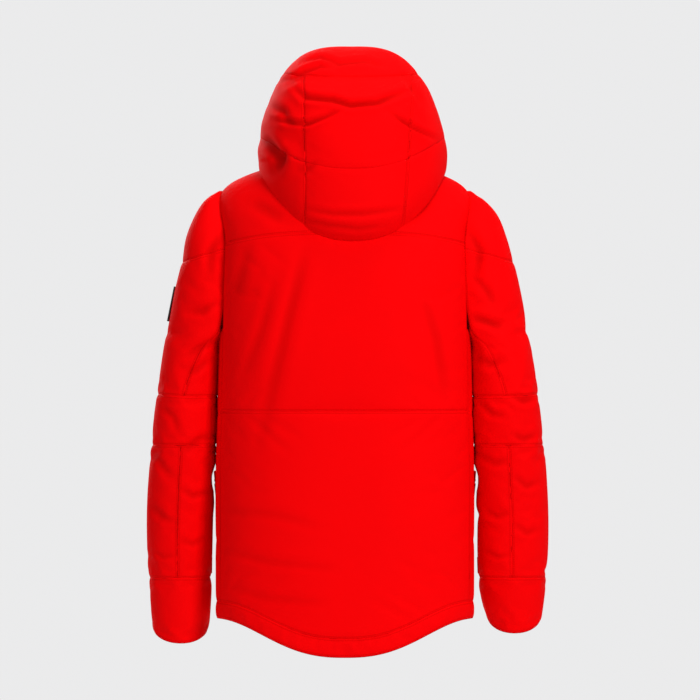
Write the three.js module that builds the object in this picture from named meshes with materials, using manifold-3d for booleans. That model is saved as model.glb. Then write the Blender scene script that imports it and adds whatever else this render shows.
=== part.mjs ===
// An insulated ski jacket as it stands on a wearer: zipped up, hood up and arms down.
// Millimetres. X runs to the wearer's left, Y to the back and Z up. Heights are measured from the lowest
// point of the hem, and the finished jacket is then moved so that its origin is at the hanger loop.
import * as THREE from 'three';
import { mergeVertices } from 'three/addons/utils/BufferGeometryUtils.js';
import Module from 'manifold-3d';

const wasm = await Module();
wasm.setup();

// Body
const BACK_LENGTH = 792; // neck seam at the back down to the tail of the hem
const HEM_WIDTH = 406;
const CHEST_WIDTH = 396;
const BACK_WIDTH = 384; // armhole to armhole across the yoke
const BACK_DEPTH = 146; // from the middle plane to the shoulder blades
const SHELL = 5; // padded outer fabric
const TAIL_DROP = 58; // the tail hangs this much below the sides
const FRONT_RISE = 46; // the front hem stands this much above the tail
const HEM_BAND = 28;
const HIP_HEIGHT = 180;
const WAIST_HEIGHT = 295;
const MID_SEAM_HEIGHT = 389;
const SHOULDER_DROP = 49; // neck seam to the shoulder tip
const ARMHOLE_HEIGHT = 226;
const YOKE_DEPTH = 119; // neck seam down to the yoke seam
const YOKE_DIP = 19; // the yoke seam is this much lower at the armholes
const ARMHOLE_SPREAD = 16; // degrees either side of the body's side line
const SHOULDER_SEAM = 1.4; // degrees that the seam along the shoulder takes on each side

// Neck and collar
const NECK_WIDTH = 164;
const NECK_BACK = 67;
const COLLAR_HEIGHT = 50; // at the back
const COLLAR_FRONT = 75;
const COLLAR_WALL = 4;

// Front zip: a straight line that leans back from the hem to the chin
const ZIP_BOTTOM_DEPTH = 146;
const ZIP_TOP_DEPTH = 100;
const ZIP_TEETH = 6;
const ZIP_TAPE = 9;
const ZIP_THICK = 2.4;

// Sleeves
const SLEEVE_WALL = 4;
const SLEEVE_CLEARANCE = 5; // between the body's side and the hanging sleeve
const ARM_GAP = 2.8; // between the shoulder tip and the sleeve's inner edge
const SLEEVE_LENGTH = 704; // shoulder tip down to the end of the cuff
const HEAD_LENGTH = 111; // shoulder tip down to the seam under the sleeve head
const ELBOW_DROP = 329; // shoulder tip down to the elbow seam
const ELBOW_PANEL = 79;
const CUFF_LENGTH = 85;
const SLEEVE_WIDTH = 104; // at the forearm
const ELBOW_WIDTH = 93;
const CUFF_WIDTH = 84;
const SLEEVE_DEPTH = 124;
const CUFF_DEPTH = 100;
const FORWARD_BEND = 50; // how far the cuff hangs in front of the shoulder

// Hood
const HOOD_WIDTH = 300;
const HOOD_RISE = 173; // crown above the neck seam
const HOOD_BACK = 164; // from the middle plane to the back of the hood
const HOOD_BRIM = 138; // from the middle plane to the front edge of the brim
const HOOD_HANG = 136; // the back of the hood hangs this much below the neck seam
const HOOD_WALL = 4;
const HOOD_SHIFT = -10; // the hood leans a little to the wearer's right
const CROWN_MIDDLE = -20; // the crown's highest point, in front of the middle plane
const HOOD_PANEL = 82; // half width of the centre panel

// Small parts and gaps
const SEAM_GAP = 0.8; // between two panels that are sewn edge to edge
const LAY_GAP = 1.2; // under a flat piece that lies on a curved panel
const PULL_GAP = 0.8;

const RED = { color: 0xe60505, roughness: 0.62, metalness: 0 };
const DARK = { color: 0x35302c, roughness: 0.5, metalness: 0.1 };
const LINING = { color: 0x8e1010, roughness: 0.45, metalness: 0 };
const KNIT = { color: 0x2a2a2c, roughness: 0.9, metalness: 0 };
const METAL = { color: 0x47443f, roughness: 0.35, metalness: 0.9 };

const rad = THREE.MathUtils.degToRad;
const lerp = THREE.MathUtils.lerp;
const shoulderZ = BACK_LENGTH - SHOULDER_DROP;
const armpitZ = shoulderZ - ARMHOLE_HEIGHT;
const yokeZ = BACK_LENGTH - YOKE_DEPTH;
const collarTopZ = BACK_LENGTH + COLLAR_HEIGHT - 10;
const neckFrontZ = collarTopZ - COLLAR_FRONT;

// ---------- shapes ----------

// A power curve between an ellipse (2) and a box: the flat backs and round corners of a padded garment.
function superPoint(angle, halfX, halfY, power) {
  const c = Math.cos(angle);
  const s = Math.sin(angle);
  const bulge = 2 / power;
  return [halfX * Math.sign(c) * Math.abs(c) ** bulge, halfY * Math.sign(s) * Math.abs(s) ** bulge];
}

// A surface through rings, each given as a function of the angle. v counts rings.
function loft(rings) {
  return (angle, v) => {
    const line = new THREE.CatmullRomCurve3(rings.map((ring) => ring(rad(angle))));
    return line.getPoint(THREE.MathUtils.clamp(v / (rings.length - 1), 0, 1));
  };
}

// The surface's point at (u, v), moved out along its normal.
function offsetPoint(surface, u, v, out) {
  const [du, dv] = [0.5, 0.02];
  const alongU = surface(u + du, v).sub(surface(u - du, v));
  const alongV = surface(u, v + dv).sub(surface(u, v - dv));
  return surface(u, v).addScaledVector(alongU.cross(alongV).normalize(), out);
}

const edgeAt = (edge, v) => (typeof edge === 'function' ? edge(v) : edge);

function place(geometry, map) {
  const bent = geometry.clone();
  bent.deleteAttribute('normal');
  bent.deleteAttribute('uv');
  const spot = bent.attributes.position;
  for (let i = 0; i < spot.count; i++) {
    const p = map(spot.getX(i), spot.getY(i), spot.getZ(i));
    spot.setXYZ(i, p.x, p.y, p.z);
  }
  return mergeVertices(bent, 1e-3);
}

// A sewn panel: a flat box bent onto a surface between two u edges and two v edges.
function panel(surface, [u0, u1], [v0, v1], [inner, outer], [across, up]) {
  const flat = new THREE.BoxGeometry(1, 1, 1, across, up, 1);
  return place(flat, (x, y, z) => {
    const v = lerp(v0, v1, y + 0.5);
    const u = lerp(edgeAt(u0, v), edgeAt(u1, v), x + 0.5);
    return offsetPoint(surface, u, v, lerp(inner, outer, z + 0.5));
  });
}

// A closed band of fabric that runs all the way round a surface.
function band(surface, [v0, v1], [inner, outer], [around, up]) {
  const corners = [];
  for (let i = 0; i <= up; i++) corners.push(new THREE.Vector2(2, i / up));
  for (let i = up; i >= 0; i--) corners.push(new THREE.Vector2(1, i / up));
  corners.push(corners[0].clone());
  const ring = new THREE.LatheGeometry(corners, around);
  return place(ring, (x, y, z) => {
    const angle = THREE.MathUtils.radToDeg(Math.atan2(-z, x));
    const turned = Math.round(angle * 1000) / 1000;
    const share = Math.round(Math.hypot(x, z)) - 1;
    return offsetPoint(surface, turned, lerp(v0, v1, y), lerp(inner, outer, share));
  });
}

function toSolid(geometry) {
  const merged = mergeVertices(geometry, 1e-3);
  return new wasm.Manifold(new wasm.Mesh({
    numProp: 3,
    vertProperties: new Float32Array(merged.attributes.position.array),
    triVerts: new Uint32Array(merged.index.array),
  }));
}

function fromSolid(solid) {
  const { vertProperties, triVerts } = solid.getMesh();
  const made = new THREE.BufferGeometry();
  made.setAttribute('position', new THREE.BufferAttribute(new Float32Array(vertProperties), 3));
  made.setIndex(new THREE.BufferAttribute(new Uint32Array(triVerts), 1));
  return made;
}

function cut(geometry, ...tools) {
  let solid = toSolid(geometry);
  for (const tool of tools) solid = solid.subtract(toSolid(tool));
  return fromSolid(solid);
}

function join(...geometries) {
  let solid = toSolid(geometries[0]);
  for (const other of geometries.slice(1)) solid = solid.add(toSolid(other));
  return fromSolid(solid);
}

function box(width, depth, height, x = 0, y = 0, z = 0) {
  const shape = new THREE.BoxGeometry(width, depth, height);
  shape.deleteAttribute('normal');
  shape.deleteAttribute('uv');
  return shape.translate(x, y, z);
}

function named(name, geometry, finish) {
  const mesh = new THREE.Mesh(geometry, new THREE.MeshStandardMaterial(finish));
  mesh.name = name;
  return mesh;
}

// ---------- body ----------

const zipTopZ = collarTopZ - 4;
const zipBottomZ = FRONT_RISE + 2;
const zipSlope = (ZIP_BOTTOM_DEPTH - ZIP_TOP_DEPTH) / (zipTopZ - zipBottomZ);
const frontDepth = (z) => ZIP_TOP_DEPTH + (zipTopZ - z) * zipSlope;
const zipHalf = ZIP_TEETH / 2 + ZIP_TAPE + 2 * SEAM_GAP;

// [half width, depth at the back, power, height at the side, at the back, at the front, peak of the tail]
const bodyRings = [
  [HEM_WIDTH / 2, BACK_DEPTH - 14, 2.5, TAIL_DROP, 0, FRONT_RISE, 4],
  [HEM_WIDTH / 2, BACK_DEPTH - 12, 2.5, TAIL_DROP + HEM_BAND, HEM_BAND, FRONT_RISE + HEM_BAND, 4],
  [HEM_WIDTH / 2, BACK_DEPTH - 6, 2.6, HIP_HEIGHT, HIP_HEIGHT - 15, HIP_HEIGHT],
  [HEM_WIDTH / 2, BACK_DEPTH - 2, 2.7, WAIST_HEIGHT, WAIST_HEIGHT - 6, WAIST_HEIGHT],
  [(HEM_WIDTH + CHEST_WIDTH) / 4, BACK_DEPTH, 2.8, MID_SEAM_HEIGHT, MID_SEAM_HEIGHT, MID_SEAM_HEIGHT],
  [CHEST_WIDTH / 2, BACK_DEPTH, 3, armpitZ, armpitZ, armpitZ],
  [BACK_WIDTH / 2 + 2, BACK_DEPTH - 12, 3, yokeZ - YOKE_DIP, yokeZ, yokeZ - YOKE_DIP],
  [BACK_WIDTH / 2, BACK_DEPTH - 40, 1.8, shoulderZ, shoulderZ, shoulderZ - 23],
  [NECK_WIDTH / 2, NECK_BACK, 2, BACK_LENGTH - 4, BACK_LENGTH, neckFrontZ],
];
const [HEM, HEM_SEAM, , WAIST, MID_SEAM, ARMPIT, YOKE, SHOULDER, NECK] = bodyRings.keys();

function bodyRing([half, back, power, side, rear, fore, peak = 2]) {
  return (angle) => {
    const s = Math.sin(angle);
    const height = lerp(side, s > 0 ? rear : fore, Math.abs(s) ** peak);
    const [x, y] = superPoint(angle, half, s > 0 ? back : frontDepth(height), power);
    return new THREE.Vector3(x, y, height);
  };
}
const bodySurface = loft(bodyRings.map(bodyRing));

// The angle, forwards of the left side, at which a surface comes within a distance of the middle plane.
function frontAngle(surface, distance, v) {
  let [low, high] = [-90, -10];
  for (let i = 0; i < 24; i++) {
    const middle = (low + high) / 2;
    if (offsetPoint(surface, middle, v, 0).x < distance) low = middle;
    else high = middle;
  }
  return high;
}

// Panels stop short of the zip at the front and of the armholes at the sides.
const frontEdge = (v) => frontAngle(bodySurface, zipHalf, v);
const armEdge = (v) => {
  if (v <= YOKE) return ARMHOLE_SPREAD;
  return Math.max(SHOULDER_SEAM, ARMHOLE_SPREAD * Math.sqrt(Math.max(0, 1 - (v - YOKE) ** 2)));
};
const seamTurn = 0.12; // degrees of a body panel's edge that the seam takes
const seamRise = 0.004; // ring steps that the seam takes
// A panel edge beside the armhole line: on the back (1) or on the front (-1) of it.
const armPlus = (sign) => (v) => sign * (armEdge(v) + seamTurn);
const wall = [-SHELL, 0];
const mirrored = (edge) => (v) => 180 - edge(v);
const levels = (low, high) => [low + seamRise, high - seamRise];

const body = new THREE.Group();
body.add(
  named('hem_band', panel(bodySurface, [frontEdge, mirrored(frontEdge)], levels(HEM, HEM_SEAM), wall,
    [40, 1]), RED),
  named('back_lower', panel(bodySurface, [armPlus(1), mirrored(armPlus(1))], levels(HEM_SEAM, MID_SEAM), wall,
    [16, 6]), RED),
  named('back_upper', panel(bodySurface, [armPlus(1), mirrored(armPlus(1))], levels(MID_SEAM, YOKE), wall,
    [16, 4]), RED),
  named('back_yoke', panel(bodySurface, [armPlus(1), mirrored(armPlus(1))], levels(YOKE, NECK), wall,
    [16, 4]), RED),
);

function bodySide(side) {
  const half = new THREE.Group();
  const frontEdges = [frontEdge, armPlus(-1)];
  const sideEdges = [-ARMHOLE_SPREAD + seamTurn, ARMHOLE_SPREAD - seamTurn];
  half.add(
    named(`${side}_front`, panel(bodySurface, frontEdges, levels(HEM_SEAM, YOKE), wall, [8, 10]), RED),
    named(`${side}_front_yoke`, panel(bodySurface, frontEdges, levels(YOKE, NECK), wall, [8, 4]), RED),
    named(`${side}_side_panel`, panel(bodySurface, sideEdges, levels(HEM_SEAM, ARMPIT), wall, [4, 8]), RED),
  );
  return half;
}

// ---------- collar ----------

function collarRing(rise, lean) {
  return (angle) => {
    const s = Math.sin(angle);
    const full = lerp(COLLAR_HEIGHT, COLLAR_FRONT, (1 - s) / 2);
    const seam = lerp(BACK_LENGTH - 4, s > 0 ? BACK_LENGTH : neckFrontZ, s * s);
    const height = seam + SEAM_GAP * 2 + rise * (full - 10);
    const back = NECK_BACK - lean;
    const [x, y] = superPoint(angle, NECK_WIDTH / 2 - lean, s > 0 ? back : frontDepth(height), 2);
    return new THREE.Vector3(x, y, height);
  };
}
const collarSurface = loft([collarRing(0, 0), collarRing(0.5, 3), collarRing(1, 4)]);
const collarEdge = (v) => frontAngle(collarSurface, zipHalf, v);
const collar = named('collar', panel(collarSurface, [collarEdge, mirrored(collarEdge)], [0, 2], [-COLLAR_WALL, 0],
  [28, 2]), RED);

// ---------- lining, hanger loop and powder skirt ----------

const LINING_DEPTH = SHELL + 5; // from the outer face to the lining
const LINING_WALL = 1.2;
const ARMHOLE_CUT = 104; // front to back, where the lining stops round the armhole
const liningEdge = (v) => frontEdge(v) + 0.4;
const armholeCutter = (sign) => box(BACK_WIDTH / 3, ARMHOLE_CUT, ARMHOLE_HEIGHT - 6,
  sign * (BACK_WIDTH / 2), 0, armpitZ + ARMHOLE_HEIGHT / 2);
const bodyLining = named('body_lining', cut(
  panel(bodySurface, [liningEdge, mirrored(liningEdge)], [HEM_SEAM + 0.2, NECK - 0.12],
    [-LINING_DEPTH - LINING_WALL, -LINING_DEPTH], [32, 12]),
  armholeCutter(1),
  armholeCutter(-1),
), LINING);

const LOOP_WIDTH = 60;
const LOOP_TAPE = 5;
const LOOP_GAP = 9; // room for a hook
const loopY = NECK_BACK - COLLAR_WALL - LOOP_GAP - 8;
const loopZ = BACK_LENGTH + 4;
const loopBar = box(LOOP_WIDTH, 1.4, LOOP_TAPE, 0, loopY, loopZ);
const loopEnd = (sign) => box(LOOP_TAPE, LOOP_GAP + 1.4, LOOP_TAPE, sign * (LOOP_WIDTH - LOOP_TAPE) / 2,
  loopY + LOOP_GAP / 2, loopZ);

const hangerLoop = named('hanger_loop', join(loopBar, loopEnd(1), loopEnd(-1)), DARK);

const SKIRT_TOP = 285;
const SKIRT_DROP = 125;
const SKIRT_INSET = LINING_DEPTH + LINING_WALL + 1.8;
const SKIRT_FLARE = 12; // its elastic hem stands this much further in
function skirtRing(height, inset) {
  return (angle) => {
    const s = Math.sin(angle);
    const back = BACK_DEPTH - 8 - inset;
    const front = frontDepth(height) - inset;
    const [x, y] = superPoint(angle, HEM_WIDTH / 2 - inset, s > 0 ? back : front, 2.6);
    return new THREE.Vector3(x, y, height);
  };
}
const skirtSurface = loft([
  skirtRing(SKIRT_TOP - SKIRT_DROP, SKIRT_INSET + SKIRT_FLARE),
  skirtRing(SKIRT_TOP, SKIRT_INSET),
]);
const powderSkirt = named('powder_skirt', panel(skirtSurface, [-87.5, 267.5], [0, 1], [-1, 0], [32, 2]), KNIT);

// ---------- front zip ----------

const zipLean = Math.atan(zipSlope);
const zipLength = (zipTopZ - zipBottomZ) / Math.cos(zipLean);
const zip = new THREE.Group();
zip.position.set(0, -ZIP_BOTTOM_DEPTH, zipBottomZ);
zip.rotation.x = -zipLean;

const STOP_LENGTH = 16;
const SLIDER = { width: 11, depth: 5, length: 15 };
const PULL = { width: 8, depth: 2.4, length: 38 };
const BRIDGE = { width: 2.4, rise: 1.6 };
const teethLength = zipLength - STOP_LENGTH - SEAM_GAP;
const zipMiddle = ZIP_THICK / 2 + 0.6;
zip.add(
  named('front_zip_teeth', box(ZIP_TEETH, ZIP_THICK, teethLength, 0, zipMiddle,
    STOP_LENGTH + SEAM_GAP + teethLength / 2), DARK),
  named('front_zip_box', box(ZIP_TEETH + 5, ZIP_THICK + 1.4, STOP_LENGTH, 0, zipMiddle, STOP_LENGTH / 2), DARK),
);
for (const [side, sign] of [['left', 1], ['right', -1]]) {
  const middle = sign * (ZIP_TEETH / 2 + SEAM_GAP + ZIP_TAPE / 2);
  const start = STOP_LENGTH + SEAM_GAP;
  zip.add(named(`${side}_zip_tape`, box(ZIP_TAPE, ZIP_THICK / 2, zipLength - start, middle, zipMiddle,
    (start + zipLength) / 2), DARK));
}

// The wind flap lies behind the zip, between the fronts and the lining, and ends at the yoke seam.
const FLAP = { width: 36, thick: 1.6, gap: 0.8 };
const flapLength = yokeZ - YOKE_DIP - zipBottomZ - STOP_LENGTH;
zip.add(named('wind_flap', box(FLAP.width, FLAP.thick, flapLength, 0, SHELL + FLAP.gap + FLAP.thick / 2,
  STOP_LENGTH + flapLength / 2), RED));

// A slider with its raised bridge, and a pull that hangs in front of the teeth.
function sliderBody(size) {
  const plate = box(size.width, size.depth, size.length, 0, -size.depth / 2, 0);
  const bridge = box(BRIDGE.width, 2 * BRIDGE.rise, size.length * 0.6, 0, -size.depth, 0);
  return join(plate, bridge);
}
function pullTab(size) {
  return box(size.width, size.depth, size.length, 0, 0, -size.length / 2);
}
const pullAway = (size, tab) => size.depth + BRIDGE.rise + PULL_GAP + tab.depth / 2; // slider's face to the tab
const frontFace = -PULL_GAP / 2; // the slider rides this far in front of the teeth
const sliderTop = zipLength - 12;
const slider = named('front_zip_slider', sliderBody(SLIDER), METAL);
slider.position.set(0, frontFace, sliderTop);
const pull = named('front_zip_pull', pullTab(PULL), DARK);
pull.position.set(0, frontFace - pullAway(SLIDER, PULL), sliderTop);
zip.add(slider, pull);

// ---------- hand pockets ----------

const POCKET_TOP = 296;
const POCKET_LENGTH = 160;
const POCKET_TOP_ANGLE = -17;
const POCKET_END_ANGLE = -30;
const WELT_WIDTH = 26;
const WELT_SLOT = 10;
const WELT_THICK = 3;
const WELT_END = 5; // sewn shut at each end

const ringAtHeight = (height) => WAIST - (WAIST_HEIGHT - height) / (WAIST_HEIGHT - HIP_HEIGHT);
const pocketHigh = offsetPoint(bodySurface, POCKET_TOP_ANGLE, ringAtHeight(POCKET_TOP), 0);
const pocketLow = offsetPoint(bodySurface, POCKET_END_ANGLE, ringAtHeight(POCKET_TOP - POCKET_LENGTH), 0);
const pocketOut = offsetPoint(bodySurface, (POCKET_TOP_ANGLE + POCKET_END_ANGLE) / 2,
  ringAtHeight(POCKET_TOP - POCKET_LENGTH / 2), 1);
const pocketMid = offsetPoint(bodySurface, (POCKET_TOP_ANGLE + POCKET_END_ANGLE) / 2,
  ringAtHeight(POCKET_TOP - POCKET_LENGTH / 2), 0);
const pocketSpan = pocketHigh.distanceTo(pocketLow);

// The pocket's own axes: z up along the zip, -y out of the jacket.
function pocketGroup() {
  const along = pocketHigh.clone().sub(pocketLow).normalize();
  const outward = pocketOut.clone().sub(pocketMid);
  const across = outward.clone().negate().cross(along).normalize();
  const inward = along.clone().cross(across).normalize();
  const axes = new THREE.Group();
  axes.setRotationFromMatrix(new THREE.Matrix4().makeBasis(across, inward, along));
  const bulge = pocketMid.distanceTo(pocketHigh.clone().add(pocketLow).multiplyScalar(0.5));
  axes.position.copy(pocketLow).addScaledVector(inward, -LAY_GAP - bulge);
  return axes;
}

// The bag hangs from the zip, between the outer fabric and the lining.
// It reaches so many degrees forward, and its top and bottom count ring steps from the waist.
const BAG = { reach: 26, top: 0.1, bottom: -0.9, outer: SHELL + 1.2, thick: 1.6 };
const bagEdge = (v) => lerp(POCKET_END_ANGLE, POCKET_TOP_ANGLE, v - HEM_SEAM - 1) + 1;
function pocketBag(side) {
  const heights = [WAIST + BAG.bottom, WAIST + BAG.top];
  return named(`${side}_pocket_bag`, panel(bodySurface, [(v) => bagEdge(v) - BAG.reach, bagEdge], heights,
    [-BAG.outer - BAG.thick, -BAG.outer], [6, 4]), LINING);
}

const POCKET_SLIDER = { width: 8, depth: 3, length: 11 };
const POCKET_PULL = { width: 7, depth: 1.8, length: 30 };
function handPocket(side) {
  const pocket = pocketGroup();
  const weltSide = (WELT_WIDTH - WELT_SLOT) / 4 + WELT_SLOT / 2;
  const strip = (sign) => box((WELT_WIDTH - WELT_SLOT) / 2, WELT_THICK, pocketSpan, sign * weltSide,
    -WELT_THICK / 2, pocketSpan / 2);
  const end = (z) => box(WELT_WIDTH, WELT_THICK, WELT_END, 0, -WELT_THICK / 2, z);
  const sliderAt = pocketSpan - 14;
  const face = -ZIP_THICK / 2 - PULL_GAP / 2;
  const pocketSlider = named(`${side}_pocket_slider`, sliderBody(POCKET_SLIDER), METAL);
  pocketSlider.position.set(0, face, sliderAt);
  const pocketPull = named(`${side}_pocket_pull`, pullTab(POCKET_PULL), DARK);
  pocketPull.position.set(0, face - pullAway(POCKET_SLIDER, POCKET_PULL), sliderAt);
  const zipSpan = pocketSpan - 2 * (WELT_END + SEAM_GAP);
  pocket.add(
    named(`${side}_pocket_welt`, join(strip(1), strip(-1), end(WELT_END / 2),
      end(pocketSpan - WELT_END / 2)), RED),
    named(`${side}_pocket_zip`, box(WELT_SLOT - 2 * SEAM_GAP, ZIP_THICK / 2, zipSpan, 0, -ZIP_THICK / 4,
      pocketSpan / 2), DARK),
    pocketSlider,
    pocketPull,
  );
  return pocket;
}

// ---------- sleeves ----------

const cuffZ = shoulderZ - SLEEVE_LENGTH;
const elbowZ = shoulderZ - ELBOW_DROP;
const headZ = shoulderZ - HEAD_LENGTH;
const armX = BACK_WIDTH / 2 + ARM_GAP;
const sideX = CHEST_WIDTH / 2 + SLEEVE_CLEARANCE; // the inner face of the sleeve under the arm
const hangX = HEM_WIDTH / 2 + SLEEVE_CLEARANCE;
const armholeHalf = 57; // half the armhole's depth, front to back
const GUSSET = 24; // degrees by which the under sleeve narrows at the armpit

// [height, seam line x, inner x, outer x, half depth, y of the middle]
const sleeveRings = [
  [shoulderZ + 1, armX, armX, armX + 4, 5, 0],
  [shoulderZ - 16, armX, armX, armX + 26, armholeHalf - 21, 0],
  [shoulderZ - 42, armX, armX, armX + 43, armholeHalf - 7, 0],
  [shoulderZ - 79, armX, armX, armX + 58, armholeHalf + 3, 0],
  [headZ, armX + 1, armX, armX + 64, armholeHalf + 8, 0],
  [(headZ + armpitZ) / 2, armX + 3, armX, armX + 77, armholeHalf + 11, 0],
  [armpitZ - 2, sideX + 2, sideX - 1, sideX + ELBOW_WIDTH - 13, armholeHalf + 10, 0],
  [armpitZ - 32, sideX + 34, sideX + 1, sideX + ELBOW_WIDTH - 6, armholeHalf + 8, 0],
  [elbowZ, hangX + ELBOW_WIDTH / 2 - 1, hangX - 1, hangX - 1 + ELBOW_WIDTH, SLEEVE_DEPTH / 2, -2],
  [elbowZ - ELBOW_PANEL, hangX + SLEEVE_WIDTH / 2 - 2, hangX, hangX + SLEEVE_WIDTH - 4, SLEEVE_DEPTH / 2 - 1,
    -FORWARD_BEND * 0.2],
  [cuffZ + 2.2 * CUFF_LENGTH, hangX + SLEEVE_WIDTH / 2 + 3, hangX + 3, hangX + 3 + SLEEVE_WIDTH,
    SLEEVE_DEPTH / 2 - 4, -FORWARD_BEND * 0.45],
  [cuffZ + CUFF_LENGTH, hangX + SLEEVE_WIDTH / 2 + 4, hangX + 6, hangX + 2 + SLEEVE_WIDTH, CUFF_DEPTH / 2 + 4,
    -FORWARD_BEND * 0.75],
  [cuffZ, hangX + SLEEVE_WIDTH / 2 + 4, hangX + SLEEVE_WIDTH / 2 + 4 - CUFF_WIDTH / 2,
    hangX + SLEEVE_WIDTH / 2 + 4 + CUFF_WIDTH / 2, CUFF_DEPTH / 2, -FORWARD_BEND],
];
const [HEAD_TOP, , , , HEAD_SEAM, , UNDERARM, , ELBOW, FOREARM, , CUFF_SEAM, CUFF_END] = sleeveRings.keys();

function sleeveRing([height, seam, inner, outer, depth, middle]) {
  return (angle) => {
    const half = Math.cos(angle) > 0 ? outer - seam : seam - inner;
    const [x, y] = superPoint(angle, half, depth, 2.2);
    return new THREE.Vector3(seam + x, middle + y, height);
  };
}
// v counts rings down the sleeve, so the angle runs the other way to keep the normal outwards.
const sleeveDown = loft(sleeveRings.map(sleeveRing));
const sleeveSurface = (u, v) => sleeveDown(-u, v);
const sleeveWall = [-SLEEVE_WALL, 0];

const GAITER_INSET = 11;
// The cuff tab lies round the inner front of the sleeve, in degrees forward from the outer side.
const TAB = { from: 100, to: 172, drop: 6, height: 26, thick: 2.4 };

function sleeve(side) {
  const arm = new THREE.Group();
  const ringTurn = seamTurn * 3;
  const outer = [-90 + ringTurn, 90 - ringTurn];
  const under = [90 + ringTurn, 270 - ringTurn];
  const gusset = (v) => ringTurn + GUSSET * Math.max(0, (ELBOW - v) / (ELBOW - UNDERARM));
  const underGusset = [(v) => 90 + gusset(v), (v) => 270 - gusset(v)];
  const cuffRise = (height) => CUFF_SEAM - (height / (1.2 * CUFF_LENGTH));
  arm.add(
    named(`${side}_sleeve_head`, panel(sleeveSurface, outer, levels(HEAD_TOP, HEAD_SEAM), sleeveWall,
      [10, 6]), RED),
    named(`${side}_upper_sleeve`, panel(sleeveSurface, outer, levels(HEAD_SEAM, ELBOW), sleeveWall,
      [10, 6]), RED),
    named(`${side}_upper_sleeve_under`, panel(sleeveSurface, underGusset, levels(UNDERARM + 0.5, ELBOW),
      sleeveWall, [8, 4]), RED),
    named(`${side}_elbow_panel`, band(sleeveSurface, levels(ELBOW, FOREARM), sleeveWall, [20, 2]), RED),
    named(`${side}_forearm`, panel(sleeveSurface, outer, levels(FOREARM, CUFF_SEAM), sleeveWall, [10, 5]), RED),
    named(`${side}_forearm_under`, panel(sleeveSurface, under, levels(FOREARM, CUFF_SEAM), sleeveWall,
      [8, 5]), RED),
    named(`${side}_cuff`, band(sleeveSurface, levels(CUFF_SEAM, CUFF_END), sleeveWall, [20, 2]), RED),
    named(`${side}_wrist_gaiter`, band(sleeveSurface, [CUFF_SEAM + 0.1, CUFF_END - 0.05],
      [-GAITER_INSET - 1.5, -GAITER_INSET], [20, 2]), KNIT),
    named(`${side}_cuff_tab`, panel(sleeveSurface, [TAB.from, TAB.to],
      [cuffRise(TAB.drop + TAB.height), cuffRise(TAB.drop)], [LAY_GAP, LAY_GAP + TAB.thick], [6, 1]), RED),
  );
  return arm;
}

// A flat badge on the outside of the left sleeve, without any mark.
const BADGE = { width: 34, height: 56, thick: 2, drop: 184 };
const BADGE_TURN = 8; // degrees forward
const badgeAt = HEAD_SEAM + (BADGE.drop - HEAD_LENGTH) / ((headZ - armpitZ) / 2);
const badgeSpot = offsetPoint(sleeveSurface, BADGE_TURN, badgeAt, LAY_GAP + 1.6);
const badgeAbove = offsetPoint(sleeveSurface, BADGE_TURN, badgeAt - 0.4, LAY_GAP + 1.6);
const badge = named('left_sleeve_badge', box(BADGE.width, BADGE.thick, BADGE.height, 0, -BADGE.thick / 2, 0),
  DARK);
{
  const up = badgeAbove.sub(badgeSpot).normalize();
  const out = offsetPoint(sleeveSurface, BADGE_TURN, badgeAt, 1)
    .sub(offsetPoint(sleeveSurface, BADGE_TURN, badgeAt, 0));
  const across = out.clone().negate().cross(up).normalize();
  const inward = up.clone().cross(across).normalize();
  badge.setRotationFromMatrix(new THREE.Matrix4().makeBasis(across, inward, up));
  badge.position.copy(badgeSpot);
}

// ---------- hood ----------

const hoodBottom = BACK_LENGTH - HOOD_HANG;
const crownZ = BACK_LENGTH + HOOD_RISE;
const crownSeamZ = crownZ - 44;
// [half width, back, brim, power, height at the side, at the back, at the front]
const hoodRings = [
  [HOOD_WIDTH / 2 - 1, HOOD_BACK - 14, 106, 2.3, BACK_LENGTH - 18, hoodBottom, BACK_LENGTH - 22],
  [HOOD_WIDTH / 2 + 1, HOOD_BACK - 2, 109, 2.3, BACK_LENGTH + 2, hoodBottom + 34, BACK_LENGTH + 2],
  [HOOD_WIDTH / 2, HOOD_BACK, 112, 2.3, BACK_LENGTH + 24, hoodBottom + 104, BACK_LENGTH + 24],
  [HOOD_WIDTH / 2 - 12, HOOD_BACK - 8, 118, 2.4, BACK_LENGTH + 62, hoodBottom + 180, BACK_LENGTH + 62],
  [HOOD_WIDTH / 2 - 28, HOOD_BACK - 30, 126, 2.5, BACK_LENGTH + 100, hoodBottom + 232, BACK_LENGTH + 96],
  [HOOD_WIDTH / 2 - 48, HOOD_BACK - 66, HOOD_BRIM, 2.6, crownSeamZ, crownSeamZ, crownSeamZ - 16],
];
const [HOOD_EDGE, , , , , CROWN] = hoodRings.keys();
function hoodRing([half, back, fore, power, side, rear, front]) {
  return (angle) => {
    const s = Math.sin(angle);
    const [x, y] = superPoint(angle, half, s > 0 ? back : fore, power);
    return new THREE.Vector3(x + HOOD_SHIFT, y, lerp(side, s > 0 ? rear : front, s * s));
  };
}
const hoodSurface = loft(hoodRings.map(hoodRing));

// The crown: a square grid drawn out to the oval of the top ring, and raised into a dome.
function crownPoint(s, t) {
  const share = Math.max(Math.abs(s), Math.abs(t));
  const rim = hoodRing(hoodRings[CROWN])(Math.atan2(t, s));
  const rise = (crownZ - crownSeamZ - HOOD_WALL - 2 * SEAM_GAP) * (1 - share ** 2.4);
  const height = lerp(crownSeamZ, rim.z, share) + rise;
  return new THREE.Vector3(lerp(HOOD_SHIFT, rim.x, share), lerp(CROWN_MIDDLE, rim.y, share), height);
}
function crown() {
  const flat = new THREE.BoxGeometry(1, 1, 1, 12, 12, 1);
  return place(flat, (x, y, z) => {
    const p = crownPoint(2 * x, 2 * y);
    p.z += 2 * SEAM_GAP + (z + 0.5) * HOOD_WALL;
    return p;
  });
}

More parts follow.
